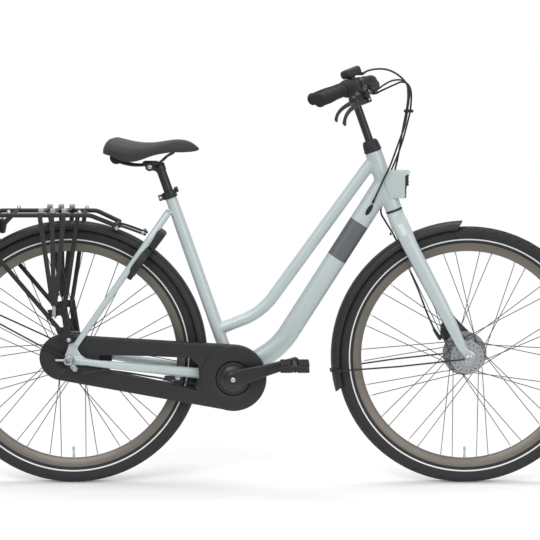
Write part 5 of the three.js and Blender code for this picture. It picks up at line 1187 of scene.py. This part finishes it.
# %% [markdown]
# ## Gear indicator and brake levers
# The gear indicator is a rounded box on the twist grip's ring, with a glossy pane on top. Each brake lever
# turns on a pin in its perch. Lever and perch are cast, so their forms flow, and they are skinned along a
# smooth line.

# %% Gear indicator and brake levers
def swept(bm, sections, wide, high, steps=5, sides=24):
    """An oval skin along a smooth line of (point, size), with its half axes as vectors wide and high."""
    points = flowing([point for point, _ in sections], steps)
    sizes = []
    for (_, a), (_, b) in zip(sections, sections[1:]):
        sizes += [a + (b - a) * i / steps for i in range(steps)]
    sizes.append(sections[-1][1])
    skin(bm, [(point, wide * size, high * size) for point, size in zip(points, sizes)], sides)


bm = bmesh.new()
block(bm, on_bar(-1, 165.5, 0, 34), (31, 15, 11), (inward, ahead, over))
round_edges(bm, 8, 5)
rod(bm, on_bar(-1, 158.5, 0, 10), on_bar(-1, 160, 0, 28), 9, 12, 32)
collar = [[11.3, 150.2], [16, 150.2], [17, 151.4], [17, 157], [16.2, 158.4], [17, 159.8], [17, 165.6],
          [16, 166.8], [11.3, 166.8]]
turned(bm, collar, bar_end(-1), inward, 40)
rod(bm, on_bar(-1, 184, -2, 30), at(774, -140.4, 1106), 8, 3.8, 20)
piece("gear_indicator_housing", bm, moulded_abs, "shift_indicator")
bm = bmesh.new()
block(bm, on_bar(-1, 165.5, -2, 44.2), (20, 7, 1.2), (inward, ahead, over))
round_edges(bm, 0.8)
piece("gear_indicator_pane", bm, clear_lens, body="steering")

BARREL = (262, 13.6, -39)
for side, name in ((1, "left"), (-1, "right")):
    u, v, n = bar_axes(side)
    bm = bmesh.new()
    band = [[11.3, 172], [15.8, 172], [17, 173.2], [17, 184.8], [15.8, 186], [11.3, 186]]
    turned(bm, band, bar_end(side), u, 40)
    body = [[179, 8, 4, 1.2], [186, 12, -12, 1.15], [206, 13.6, -26, 1.1], [226, 13.6, -31, 1],
            [246, 13.6, -35, 0.78], [*BARREL, 0.6]]
    swept(bm, [(on_bar(side, *spot), size) for *spot, size in body], n * 8.4 * MM, v.cross(n) * 8.4 * MM)
    for way in (-1, 1):
        block(bm, on_bar(side, 213, 13.6 + way * 5.8, -42), (8, 13, 1.5), (u, v, n))
    rod(bm, on_bar(side, 250, 13.6, -36), on_bar(side, *BARREL), 6, 5)
    piece(f"{name}_perch", bm, black_paint, f"{name}_lever_perch")
    bm = bmesh.new()
    for way in (-1, 1):
        bolt(bm, on_bar(side, 213, 13.6 + way * 7.2, -48), n * way, 3.6, 1.4)
    bolt(bm, on_bar(side, 179, 16.6, 4), n, 3.4, 1.6)
    piece(f"{name}_perch_screws", bm, zinc, body="steering")

    bm = bmesh.new()
    path = [[222, 13.6, -45, 1.1], [208, 13.6, -48, 1.35], [190, 13.5, -47.6, 1.45], [166, 12.5, -47.6, 1.3],
            [140, 11.5, -50, 1.08], [114, 10, -55, 0.98], [95, 8.6, -61.5, 0.92], [84, 8, -68, 0.95],
            [76, 7.4, -75, 1.05], [72.5, 7.2, -79, 1.12]]
    swept(bm, [(on_bar(side, *spot), size) for *spot, size in path],
          n * 4.2 * MM, (v * 0.94 - u * 0.34) * 5.6 * MM)
    piece(f"{name}_lever_blade", bm, black_paint, f"{name}_brake_lever")
print("lever faces:", made_pieces["right_lever_blade"])

# %% [markdown]
# ## Cables
# Each cable has a smooth plastic cover over a steel wire and runs in a loose arc from the bar to the frame,
# so that the bar can turn. The two that end on the frame ride on no body. The front brake's cable lies beside
# the headlamp, which stands still, and is made in two halves that meet there and ride on no body either. A
# clip ties the cables together, and a rubber port on each side takes one into the down tube.

# %% Cables
GEAR_FRONT = [[772, -141, 1105], [787, -134, 1114], [827, -108, 1119], [855, -90, 1112], [883, -73, 1093],
              [901, -55, 1066], [899, -42, 1018], [892, -38, 972], [878, -36, 931], [854, -34, 864],
              [838, -33, 830], [820, -31, 790], [810, -24.3, 766]]
REAR_BRAKE_FRONT = [[858, -84, 1078], [882, -56, 1086], [899, -40, 1080], [909, -22, 1061], [910, -4, 1017],
                    [904, 14, 979], [888, 27, 916], [861, 29.4, 847], [828, 31, 790], [806, 25.4, 757]]
FRONT_BRAKE = [[866, 87, 1090], [901, 66, 1088], [908, 52, 1052], [893, 40, 956], [874, 40, 852],
               [846, 40, 778], [837, 42, 737], [850, 44, 711], [867, 46, 684], [884, 47, 652],
               [903, 47, 612], [920, 47, 572], [942, 47, 522], [965, 45, 462], [988, 42, 410]]
GEAR_REAR = [[432, -8, 272], [395, -22, 272], [340, -29, 278], [300, -32, 283.6], [276, -34, 283.8],
             [254, -40, 293], [200, -49, 304], [150, -57, 314], [106, -66, 321], [70, -76, 322],
             [38, -84, 316]]
REAR_BRAKE_REAR = [[436, 10, 272], [415, 42, 280], [378, 46, 287], [340, 45, 290], [300, 49, 292],
                   [200, 60, 303], [130, 69, 308], [88, 69, 301], [60, 61, 289.6]]
CABLE_RADIUS = 2.5


def cable_line(route, side=None):
    """A cable's middle line, from the lever's barrel on the given side where one is named."""
    points = [at(*point) for point in route]
    if side is not None:
        barrel = on_bar(side, *BARREL)
        out = (barrel - on_bar(side, 213, 13.6, -30)).normalized()
        points = [barrel + out * 0.3 * MM, barrel + out * 5 * MM] + points
    return flowing(points, 8)


def cable(name, node, line, ferrules=(0, 1), bend=None):
    """A cable along a line, with ferrules on its ends. Where bend is given, it rides on no body and its
    transform is baked in.
    """
    bm = bmesh.new()
    tube(bm, line, CABLE_RADIUS, 14)
    ends = ((line[0], line[2]), (line[-1], line[-3]))
    for end, further_in in [ends[each] for each in ferrules]:
        rod(bm, end, end + (further_in - end).normalized() * 11 * MM, 3.3, 3, 16)
    obj = piece(name, bm, cable_cover, node, "blend" if bend else None)
    if bend:
        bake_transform(obj)


bar_to_frame = ("steering", "frame", at(899, 0, 1000), at(836, 0, 826))
cable("gear_cable_to_frame", "gear_cable_front", cable_line(GEAR_FRONT), bend=bar_to_frame)
cable("rear_brake_cable_to_frame", "rear_brake_cable_front", cable_line(REAR_BRAKE_FRONT, -1),
      bend=bar_to_frame)
cable("gear_cable_to_hub", "gear_cable_rear", cable_line(GEAR_REAR))
cable("rear_brake_cable_to_hub", "rear_brake_cable_rear", cable_line(REAR_BRAKE_REAR))

front_line = cable_line(FRONT_BRAKE, 1)
beside_lamp = min(range(len(front_line)), key=lambda each: (front_line[each] - at(846, 40, 778)).length)
cable("front_brake_cable_to_head", "front_brake_cable", front_line[:beside_lamp + 1], (0,),
      ("steering", "frame", at(899, 0, 1000), at(873, 0, 860)))
cable("front_brake_cable_to_fork", "front_brake_cable", front_line[beside_lamp:], (1,),
      ("frame", "steering", at(838, 0, 742), at(886, 0, 650)))

bm = bmesh.new()
hook = at(43, 58, 278)
rod(bm, hook, hook + (at(*REAR_BRAKE_REAR[-1]) - hook).normalized() * 8 * MM, 1.1, sides=12)
piece("rear_brake_wire_end", bm, zinc, body="rear_cam")

bm = bmesh.new()
block(bm, at(903, -24, 1010), (11, 22, 4))
round_edges(bm, 2, 3)
piece("cable_clip", bm, soft_rubber, body="steering")
bm = bmesh.new()
tube_run = (down_head - down_knee).normalized()
port_axes = (tube_run * 17 * MM, SIDEWAYS * 4 * MM, tube_run.cross(SIDEWAYS) * 6 * MM)
for side in (-1, 1):
    port = Matrix(port_axes).transposed().to_4x4()
    port.translation = at(801, side * 22.4, 748)
    bmesh.ops.create_uvsphere(bm, u_segments=32, v_segments=16, radius=1, matrix=port)
piece("cable_ports", bm, soft_rubber, body="frame")
print("cable faces:", made_pieces["gear_cable_to_frame"])

# %% [markdown]
# ## Headlamp and rear lamp
# The headlamp is built into the front of the head tube in the frame's colour. Its lens is stepped, with the
# upper half further forward, and chromed bars behind it are the reflector. The rear lamp hangs from a
# bracket under the rack.

# %% Lamps
def side_block(bm, outline, half, size, segments=3):
    plate(bm, outline, -half, half)
    round_edges(bm, size, segments, 30)


bm = bmesh.new()
side_block(bm, [[830, 852], [909, 852], [909, 845.4], [896, 838.6], [896, 778.5], [857, 778.5]], 26, 1.2)
piece("headlamp_shell", bm, enamel, "headlamp_housing")
bm = bmesh.new()
inside = [[894, 838.4], [905, 843], [905, 813.6], [899.4, 811.4], [898, 779.4], [894, 779.4]]
side_block(bm, inside, 24, 0.6, 2)
piece("headlamp_inside", bm, moulded_abs, body="frame")
bm = bmesh.new()
pane = [[903.4, 842], [906.4, 842.6], [906.4, 812.6], [901, 810.4], [900, 779.4], [897, 779.4], [898, 812],
        [903.4, 814]]
side_block(bm, pane, 20, 0.5, 2)
piece("headlamp_lens_pane", bm, clear_lens, "headlamp_lens")
bm = bmesh.new()
for x, z, height in ((905.3, 836, 2.4), (905.3, 827, 4), (905.3, 817.6, 2), (899.4, 799, 4),
                     (898.8, 788, 2.4)):
    block(bm, at(x, 0, z), (0.8, 24.4, height))
round_edges(bm, 0.6)
piece("headlamp_reflectors", bm, chrome, body="frame")

bm = bmesh.new()
block(bm, at(-196.6, 0, 705), (8.4, 37, 16))
round_edges(bm, 5, 4)
piece("rear_lamp_lens", bm, red_lens, "rear_lamp")
bm = bmesh.new()
side_block(bm, [[-146, 733.7], [-156, 733.7], [-186, 716], [-186, 684], [-176, 684], [-172, 706]], 13, 1.2)
block(bm, at(-187, 0, 705), (2, 38, 17))
piece("rear_lamp_bracket", bm, moulded_abs, body="frame")
print("lamp faces:", made_pieces["headlamp_shell"])

# %% [markdown]
# ## Rear rack
# The rack is welded from steel tube: a long rail on each side bends down at the back and runs to the
# dropout, where a flat bracket takes it and a nearly upright strut. Cross bars tie the sides, and a short
# stay leads forward from each side to the seat stays.

# %% Rear rack
RACK_SIDE, RACK_TOP, RACK_TUBE = 80, 738, 6
RAIL = [[129, 60, 709], [63, RACK_SIDE, RACK_TOP], [-274, RACK_SIDE, RACK_TOP], [-19, RACK_SIDE, 430]]
STRUT = [[31, RACK_SIDE, 736], [18, RACK_SIDE, 654], [-1, RACK_SIDE, 534], [-11, RACK_SIDE, 480]]
RACK_STAY = [[126, 31, 707], [140, 31, 705], [206, 32, 682]]
BRACKET_OUTLINE = [[-54, 486], [-1, 494], [12, 404], [2, 396], [-10, 402], [-24, 414]]
BRACKET_WINDOW = [[-44, 468], [-16, 472], [-12, 440], [-27, 440]]


def sided(path, side):
    return [at(x, side * y, z) for x, y, z in path]


bm = bmesh.new()
for side in (-1, 1):
    plate(bm, BRACKET_OUTLINE, side * RACK_SIDE, side * 76, [BRACKET_WINDOW])
round_edges(bm, 1)
for side in (-1, 1):
    tube(bm, bent(sided(RAIL, side), 38, 12), RACK_TUBE)
    tube(bm, flowing(sided(STRUT, side), 4), RACK_TUBE)
    tube(bm, flowing(sided(RACK_STAY, side), 4), 3.2, 20)
    rod(bm, at(2, side * 81, 406), at(2, side * 67.4, 406), 4)
for x in (-150, -55, 36):
    rod(bm, at(x, -RACK_SIDE, RACK_TOP), at(x, RACK_SIDE, RACK_TOP), 4)
block(bm, at(124, 0, 708), (6, 60, 4))
piece("rack_tubes", bm, powder_coat, "rack")

bm = bmesh.new()
for side in (-1, 1):
    bolt(bm, at(2, side * RACK_SIDE, 406), SIDEWAYS * side, 6, 4)
    bolt(bm, at(128, side * 60, 706), SIDEWAYS * side, 5, 5)
    bolt(bm, at(128, side * 34, 700), SIDEWAYS * side, 6, 5)
    bolt(bm, at(198, side * 35, 688), SIDEWAYS * side, 5, 4)
    for x in (-150, 36):
        bolt(bm, at(x, side * RACK_SIDE, 743.4), UP, 5.6, 9)
piece("rack_bolts", bm, zinc, body="frame")
print("rack faces:", made_pieces["rack_tubes"])

# %% [markdown]
# ## Rack straps
# Three flat elastic straps run over the rack and meet in a buckle on each side, with a steel hook below.
# Metal clips hold them on the rails. A strap is one line of points drawn out to its width and given a wall.
# It bends over the rail in a tight round.

# %% Rack straps
STRAP_WIDTH = 12.4
STRAP_TOPS = (-67, -36, -6)
bm = bmesh.new()
for top, low, out in zip(STRAP_TOPS, (-42, -34.6, -27.2), (87.4, 88.6, 87.4)):
    half = [[low, -out, 532], [top, -87.4, 728], [top, -87, 736], [top, -84.6, 742], [top, -80, 745]]
    path = half + [[x, -y, z] for x, y, z in half[::-1]]
    edges = wire(bm, [at(x - STRAP_WIDTH / 2, y, z) for x, y, z in path], closed=False)
    drawn = bmesh.ops.extrude_edge_only(bm, edges=edges)
    bmesh.ops.translate(bm, verts=new_verts(drawn), vec=FORWARD * STRAP_WIDTH * MM)
straps = piece("elastic_straps", bm, elastic_weave, "rack_straps", sharp=60)
thick = straps.modifiers.new("Elastic", "SOLIDIFY")
thick.thickness = 2.2 * MM
thick.offset = 0
edge = straps.modifiers.new("Edge", "BEVEL")
edge.width = 0.8 * MM
edge.segments = 2

buckles, clips, hooks = bmesh.new(), bmesh.new(), bmesh.new()
for side in (-1, 1):
    buckle = [[-46.6, 525], [-47.6, 532], [-21.4, 532], [-22.4, 525], [-26.6, 500], [-29, 497], [-39.6, 497],
              [-42, 500]]
    plate(buckles, buckle, side * 86, side * 90)
    strap_bar = [[-49.6, 525.6], [-49.6, 533], [-19.2, 533], [-19.2, 525.6]]
    plate(buckles, strap_bar, side * 85.4, side * 91)
    hook = [[-34.4, 88, 500], [-34.4, 88, 470], [-31, 84, 464], [-31, 80, 470]]
    tube(hooks, bent(sided(hook, side), 3, 5), 2.2, 16)
    plate(hooks, [[-39, 497], [-30, 497], [-30, 473], [-39, 473]], side * 87, side * 89.4)
    for x in STRAP_TOPS:
        block(clips, at(x + 2, side * RACK_SIDE, 749.4), (7, 6.4, 6.2))
round_edges(buckles, 0.9)
round_edges(clips, 1.6, 3)
piece("strap_buckles", buckles, moulded_abs, body="frame")
piece("strap_hooks", hooks, zinc, body="frame")
piece("strap_clips", clips, cast_aluminium, body="frame")
print("strap faces:", made_pieces["elastic_straps"])

# %% [markdown]
# ## Ring lock
# The ring lock is a horseshoe round the wheel, bolted to the seat stays. Its shackle slides round inside it
# through the spokes. The horseshoe is a rounded section spun through an arc, and the case above it holds the
# cylinder.

# %% Ring lock
LOCK_OUT = about(Vector(), 1000, 53.1)
LOCK_AHEAD = -LOCK_OUT.cross(SIDEWAYS)
LOCK_CENTRE = REAR_AXLE + LOCK_OUT * 318 * MM
LOCK_GAP, SHACKLE_RADIUS = 33.8, 57.5


def lock_at(out, side, front):
    return LOCK_CENTRE + (LOCK_OUT * out + SIDEWAYS * side + LOCK_AHEAD * front) * MM


def round_lock(angle):
    """A direction from the lock's middle, at an angle from its open side."""
    turn = math.radians(angle)
    return SIDEWAYS * math.sin(turn) - LOCK_OUT * math.cos(turn)


bm = bmesh.new()
section = [[51, -1], [51.6, -4], [54, -6], [61, -6], [63.4, -4.6], [64, -2], [64, 10], [63.4, 12.6],
           [61, 14], [54, 14], [51.6, 12], [51, 9]]
start = round_lock(LOCK_GAP)
points = [LOCK_CENTRE + (start * radius - LOCK_AHEAD * behind) * MM for radius, behind in section]
spun_arc(bm, points, LOCK_CENTRE, (-LOCK_OUT).cross(SIDEWAYS), 360 - 2 * LOCK_GAP, 60)
case = bmesh.new()
block(case, lock_at(74, 0, -3), (28, 46, 12), (LOCK_OUT, SIDEWAYS, LOCK_AHEAD))
for side in (-1, 1):
    block(case, lock_at(38, side * 46, -5), (9, 9, 9), (LOCK_OUT, SIDEWAYS, LOCK_AHEAD))
round_edges(case, 7, 5)
piece("ring_lock_case", case, moulded_abs, body="frame")
piece("ring_lock_horseshoe", bm, moulded_abs, "ring_lock_body")
bm = bmesh.new()
shackle_centre = lock_at(0, 0, 4)
arc = [shackle_centre + round_lock(35.5 + 87.5 * i / 20) * SHACKLE_RADIUS * MM for i in range(21)]
tube(bm, arc, 4, 20)
knob = round_lock(118)
rod(bm, shackle_centre + knob * SHACKLE_RADIUS * MM, shackle_centre + knob * 76 * MM, 2.8)
piece("lock_shackle_bar", bm, zinc, "lock_shackle")
print("lock faces:", made_pieces["ring_lock_horseshoe"])

# %% [markdown]
# ## Kickstand
# The kickstand leg is a bent aluminium rod with a rubber foot. It is folded back under the left chainstay
# here.

# %% Kickstand
bm = bmesh.new()
pivot = [[5.6, 40.6], [10.6, 40.6], [12, 42], [12, 50], [10.6, 51.3], [5.6, 51.3]]
turned(bm, pivot, at(KICKSTAND_X, 0, KICKSTAND_Z), SIDEWAYS, 40)
leg_end = at(112, 68, 262)
leg = [at(376, 47.6, 266.6), at(360, 47.6, 267), at(275, 55, 264), leg_end]
tube(bm, flowing(leg, 6), 7, 28)
piece("kickstand_leg_rod", bm, cast_aluminium, "kickstand_leg")
bm = bmesh.new()
foot = [[7, 0], [8.4, 0], [9, 1.4], [9, 6], [8.4, 7], [9, 8], [9, 16], [7.6, 18], [0, 18], [0, 0]]
turned(bm, foot, leg_end, -FORWARD, 32)
piece("kickstand_foot", bm, soft_rubber, body="kickstand")
print("kickstand faces:", made_pieces["kickstand_leg_rod"])

# %% [markdown]
# ## Saddle
# The saddle is foam under an artificial leather skin, wide at the back and narrow at the nose. A modelled
# skin is enough for a firm saddle like this, whose foam is moulded to shape. Its sections are
# bridged from back to nose and smoothed. A row of SADDLE is a place, the heights of top, edge and underside,
# and half the width. SADDLE_SHAPE goes round half a section, from the middle of the top over the edge to the
# hollow underneath.

# %% Saddle cover
SADDLE = [[95, 908, 904, 899, 50], [100, 922, 910, 897, 80], [110, 936, 912, 895, 92],
          [123, 941, 912, 891, 98], [141, 936, 910, 882, 101], [164, 930, 906, 875, 102],
          [182, 927, 903, 877, 98], [200, 925.5, 901, 882, 88], [224, 925.5, 905, 892, 68],
          [248, 929, 909, 897, 50], [272, 933.5, 913, 900, 38], [290, 935, 915, 900, 32],
          [310, 933.5, 914, 900, 27], [328, 927, 912, 901.5, 21], [341, 917, 909.5, 903.5, 13],
          [347, 911, 909, 906.5, 6]]
SADDLE_SHAPE = [[0, 0.95], [0.3, 0.99], [0.55, 1], [0.75, 0.88], [0.9, 0.55], [1, 0], [0.985, -0.5],
                [0.93, -0.86], [0.8, -1], [0.66, -0.85], [0.4, -0.45], [0, -0.35]]


def saddle_section(x, top, edge, under, half):
    side = [at(x, out * half, edge + up * (top - edge if up > 0 else edge - under))
            for out, up in SADDLE_SHAPE]
    return side + [Vector((p.x, -p.y, p.z)) for p in side[-2:0:-1]]


bm = bmesh.new()
bridged(bm, [wire(bm, saddle_section(*section)) for section in SADDLE])
bmesh.ops.poke(bm, faces=[face for face in bm.faces if len(face.verts) > 4])
saddle = piece("saddle_padded_cover", bm, saddle_skin, "saddle_cover", sharp=80)
soften = saddle.modifiers.new("Foam", "SUBSURF")
soften.levels = soften.render_levels = 2

# %% [markdown]
# ## Rails, post and clamps
# Two steel rails hold the saddle over a pair of elastomer springs. The post has a cross clamp that grips the
# rails, with a silver bolt, and slides in the seat tube, where a collar with a bolt behind it holds the
# height.

# %% Rails, post and clamps
bm = bmesh.new()
RAILS = [[278, 9, 899], [262, 15, 890], [240, 21, 872], [204, 22, 867], [172, 25, 867], [148, 32, 872],
         [128, 36, 880]]
for side in (-1, 1):
    tube(bm, flowing(sided(RAILS, side), 5), 3.5, 20)
rod(bm, at(278, -9, 899), at(278, 9, 899), 3.8)
rod(bm, at(128, -36, 880), at(128, 36, 880), 3.8)
piece("saddle_rail_wires", bm, black_paint, "saddle_rails")
bm = bmesh.new()
for side in (-1, 1):
    spring = [[0, -11], [15.4, -11], [17, -10], [17.4, -8], [16.4, -6.4], [17.4, -5], [17.4, 5], [16.4, 6.4],
              [17.4, 8], [17, 10], [15.4, 11], [0, 11]]
    turned(bm, spring, at(131, side * 40, 888), SIDEWAYS, 40)
piece("saddle_elastomers", bm, soft_rubber, body="seat")

bm = bmesh.new()
rod(bm, on_seat(0, 0, 330), on_seat(0, 0, 600), 12.5, sides=48)
piece("seatpost_tube", bm, black_paint, "seatpost")
bm = bmesh.new()
sleeve = [[12.8, 584], [13.8, 584], [14.4, 585], [14.4, 603], [13.4, 604.4], [12.8, 604.6]]
turned(bm, sleeve, BRACKET, SEAT_UP, 48)
barrel = [[0, -30], [10, -30], [12, -28.4], [12, 28.4], [10, 30], [0, 30]]
clamp_centre = at(217, 0, 863)
turned(bm, barrel, clamp_centre, SIDEWAYS, 40)
rod(bm, clamp_centre + UP * MM, on_seat(0, 0, 594), 11, 13.4)
cap = bmesh.new()
block(cap, clamp_centre + UP * 8.6 * MM, (19, 29, 5.4))
round_edges(cap, 3.4, 4)
piece("saddle_clamp_cap", cap, black_paint, body="seat")
piece("saddle_clamp_body", bm, black_paint, "saddle_clamp")
bm = bmesh.new()
collar = [[15.6, 508], [18.2, 508], [19, 509.2], [19, 526], [18, 527.2], [13, 527.2], [12.8, 524],
          [15.6, 523.4]]
turned(bm, collar, BRACKET, SEAT_UP, 48)
lugs = bmesh.new()
for side in (-1, 1):
    block(lugs, on_seat(-24, side * 5.4, 517.5), (7, 3.6, 8), (SEAT_FORWARD, SIDEWAYS, SEAT_UP))
block(lugs, on_seat(21, 0, 524.6), (5, 6, 7.4), (SEAT_FORWARD, SIDEWAYS, SEAT_UP))
round_edges(lugs, 1.6, 3)
piece("seat_collar_lugs", lugs, black_paint, body="frame")
piece("seat_collar", bm, black_paint, "seat_clamp")
bm = bmesh.new()
for side in (-1, 1):
    bolt(bm, clamp_centre + SIDEWAYS * side * 30 * MM, SIDEWAYS * side, 7, 3.4)
piece("saddle_clamp_bolt", bm, zinc, body="seat")
bm = bmesh.new()
bolt(bm, on_seat(-25, -9, 517.5), -SIDEWAYS, 5, 3.6)
bolt(bm, on_seat(-25, 9, 517.5), SIDEWAYS, 5, 3)
piece("seat_collar_bolt", bm, zinc, body="frame")
print("saddle faces:", made_pieces["saddle_padded_cover"])

# %% [markdown]
# ## Stage and light
# The photograph is a cut-out on white with a soft shadow under the tyres. The floor is pale and matt and
# fades out round the bicycle, and the camera sees a white background past it. Large soft lamps above the
# camera's side and over the bicycle keep the side view evenly lit.

# %% Stage and light
floor_mesh = bmesh.new()
bmesh.ops.create_grid(floor_mesh, x_segments=2, y_segments=2, size=14)
mesh = bpy.data.meshes.new("Floor")
floor_mesh.to_mesh(mesh)
floor_mesh.free()
floor = bpy.data.objects.new("Floor", mesh)
bpy.context.scene.collection.objects.link(floor)
floor_paint = finish("Floor_paper_white", "#ffffff", 0.9, 0.0,
                     **{"Emission Color": colour("#ffffff"), "Emission Strength": 0.06})
grain(floor_paint, 40, 0.05, 0.1)
oval = {0: place(floor_paint), 1: (0.55, 1, 0)}
spread = add(floor_paint, "ShaderNodeVectorMath", oval, operation="MULTIPLY")[0]
distance = add(floor_paint, "ShaderNodeVectorMath", {0: spread}, operation="LENGTH")["Value"]
fading = add(floor_paint, "ShaderNodeMapRange", {0: distance, 1: 0.3, 2: 1},
             interpolation_type="SMOOTHSTEP")[0]
clear = add(floor_paint, "ShaderNodeBsdfTransparent", {})[0]
tree = floor_paint.node_tree
paper = tree.nodes["Principled BSDF"].outputs[0]
faded = add(floor_paint, "ShaderNodeMixShader", {0: fading, 1: paper, 2: clear})[0]
tree.links.new(faded, tree.nodes["Material Output"].inputs["Surface"])
mesh.materials.append(floor_paint)

# A pale grey world fills the shadows, but the camera sees plain white
world = bpy.data.worlds.new("Studio")
bpy.context.scene.world = world
world.use_nodes = True
tree = world.node_tree
background = tree.nodes["Background"]
background.inputs["Color"].default_value = colour("#f2f3f4")
background.inputs["Strength"].default_value = 0.62
white = add(world, "ShaderNodeBackground", {"Color": (1, 1, 1, 1), "Strength": 1.0})[0]
seen = add(world, "ShaderNodeLightPath", {})["Is Camera Ray"]
mixed = add(world, "ShaderNodeMixShader", {0: seen, 1: background.outputs[0], 2: white})[0]
tree.links.new(mixed, tree.nodes["World Output"].inputs["Surface"])


def area_lamp(name, place_at, target, size, power):
    lamp = bpy.data.lights.new(name, "AREA")
    lamp.shape = "RECTANGLE"
    lamp.size, lamp.size_y = size
    lamp.energy = power
    obj = bpy.data.objects.new(name, lamp)
    obj.location = place_at
    obj.rotation_euler = (target - place_at).to_track_quat("-Z", "Y").to_euler()
    bpy.context.scene.collection.objects.link(obj)


middle = Vector((0, 0, 0.6))
area_lamp("Key", Vector((-1.2, -3.2, 3.4)), middle, (3.5, 2.0), 80)
area_lamp("Fill", Vector((2.6, -3.4, 1.6)), middle, (2.5, 2.5), 36)
area_lamp("Top", Vector((0, 0.6, 3.6)), middle, (4, 1.6), 62)
bpy.context.scene.view_settings.view_transform = "Standard"
print("lamps:", len(bpy.data.lights))

# %% [markdown]
# ## Pieces and faces
# The number of pieces and of their faces is printed.

# %% Finish
print("pieces:", len(made_pieces), "faces:", sum(made_pieces.values()))
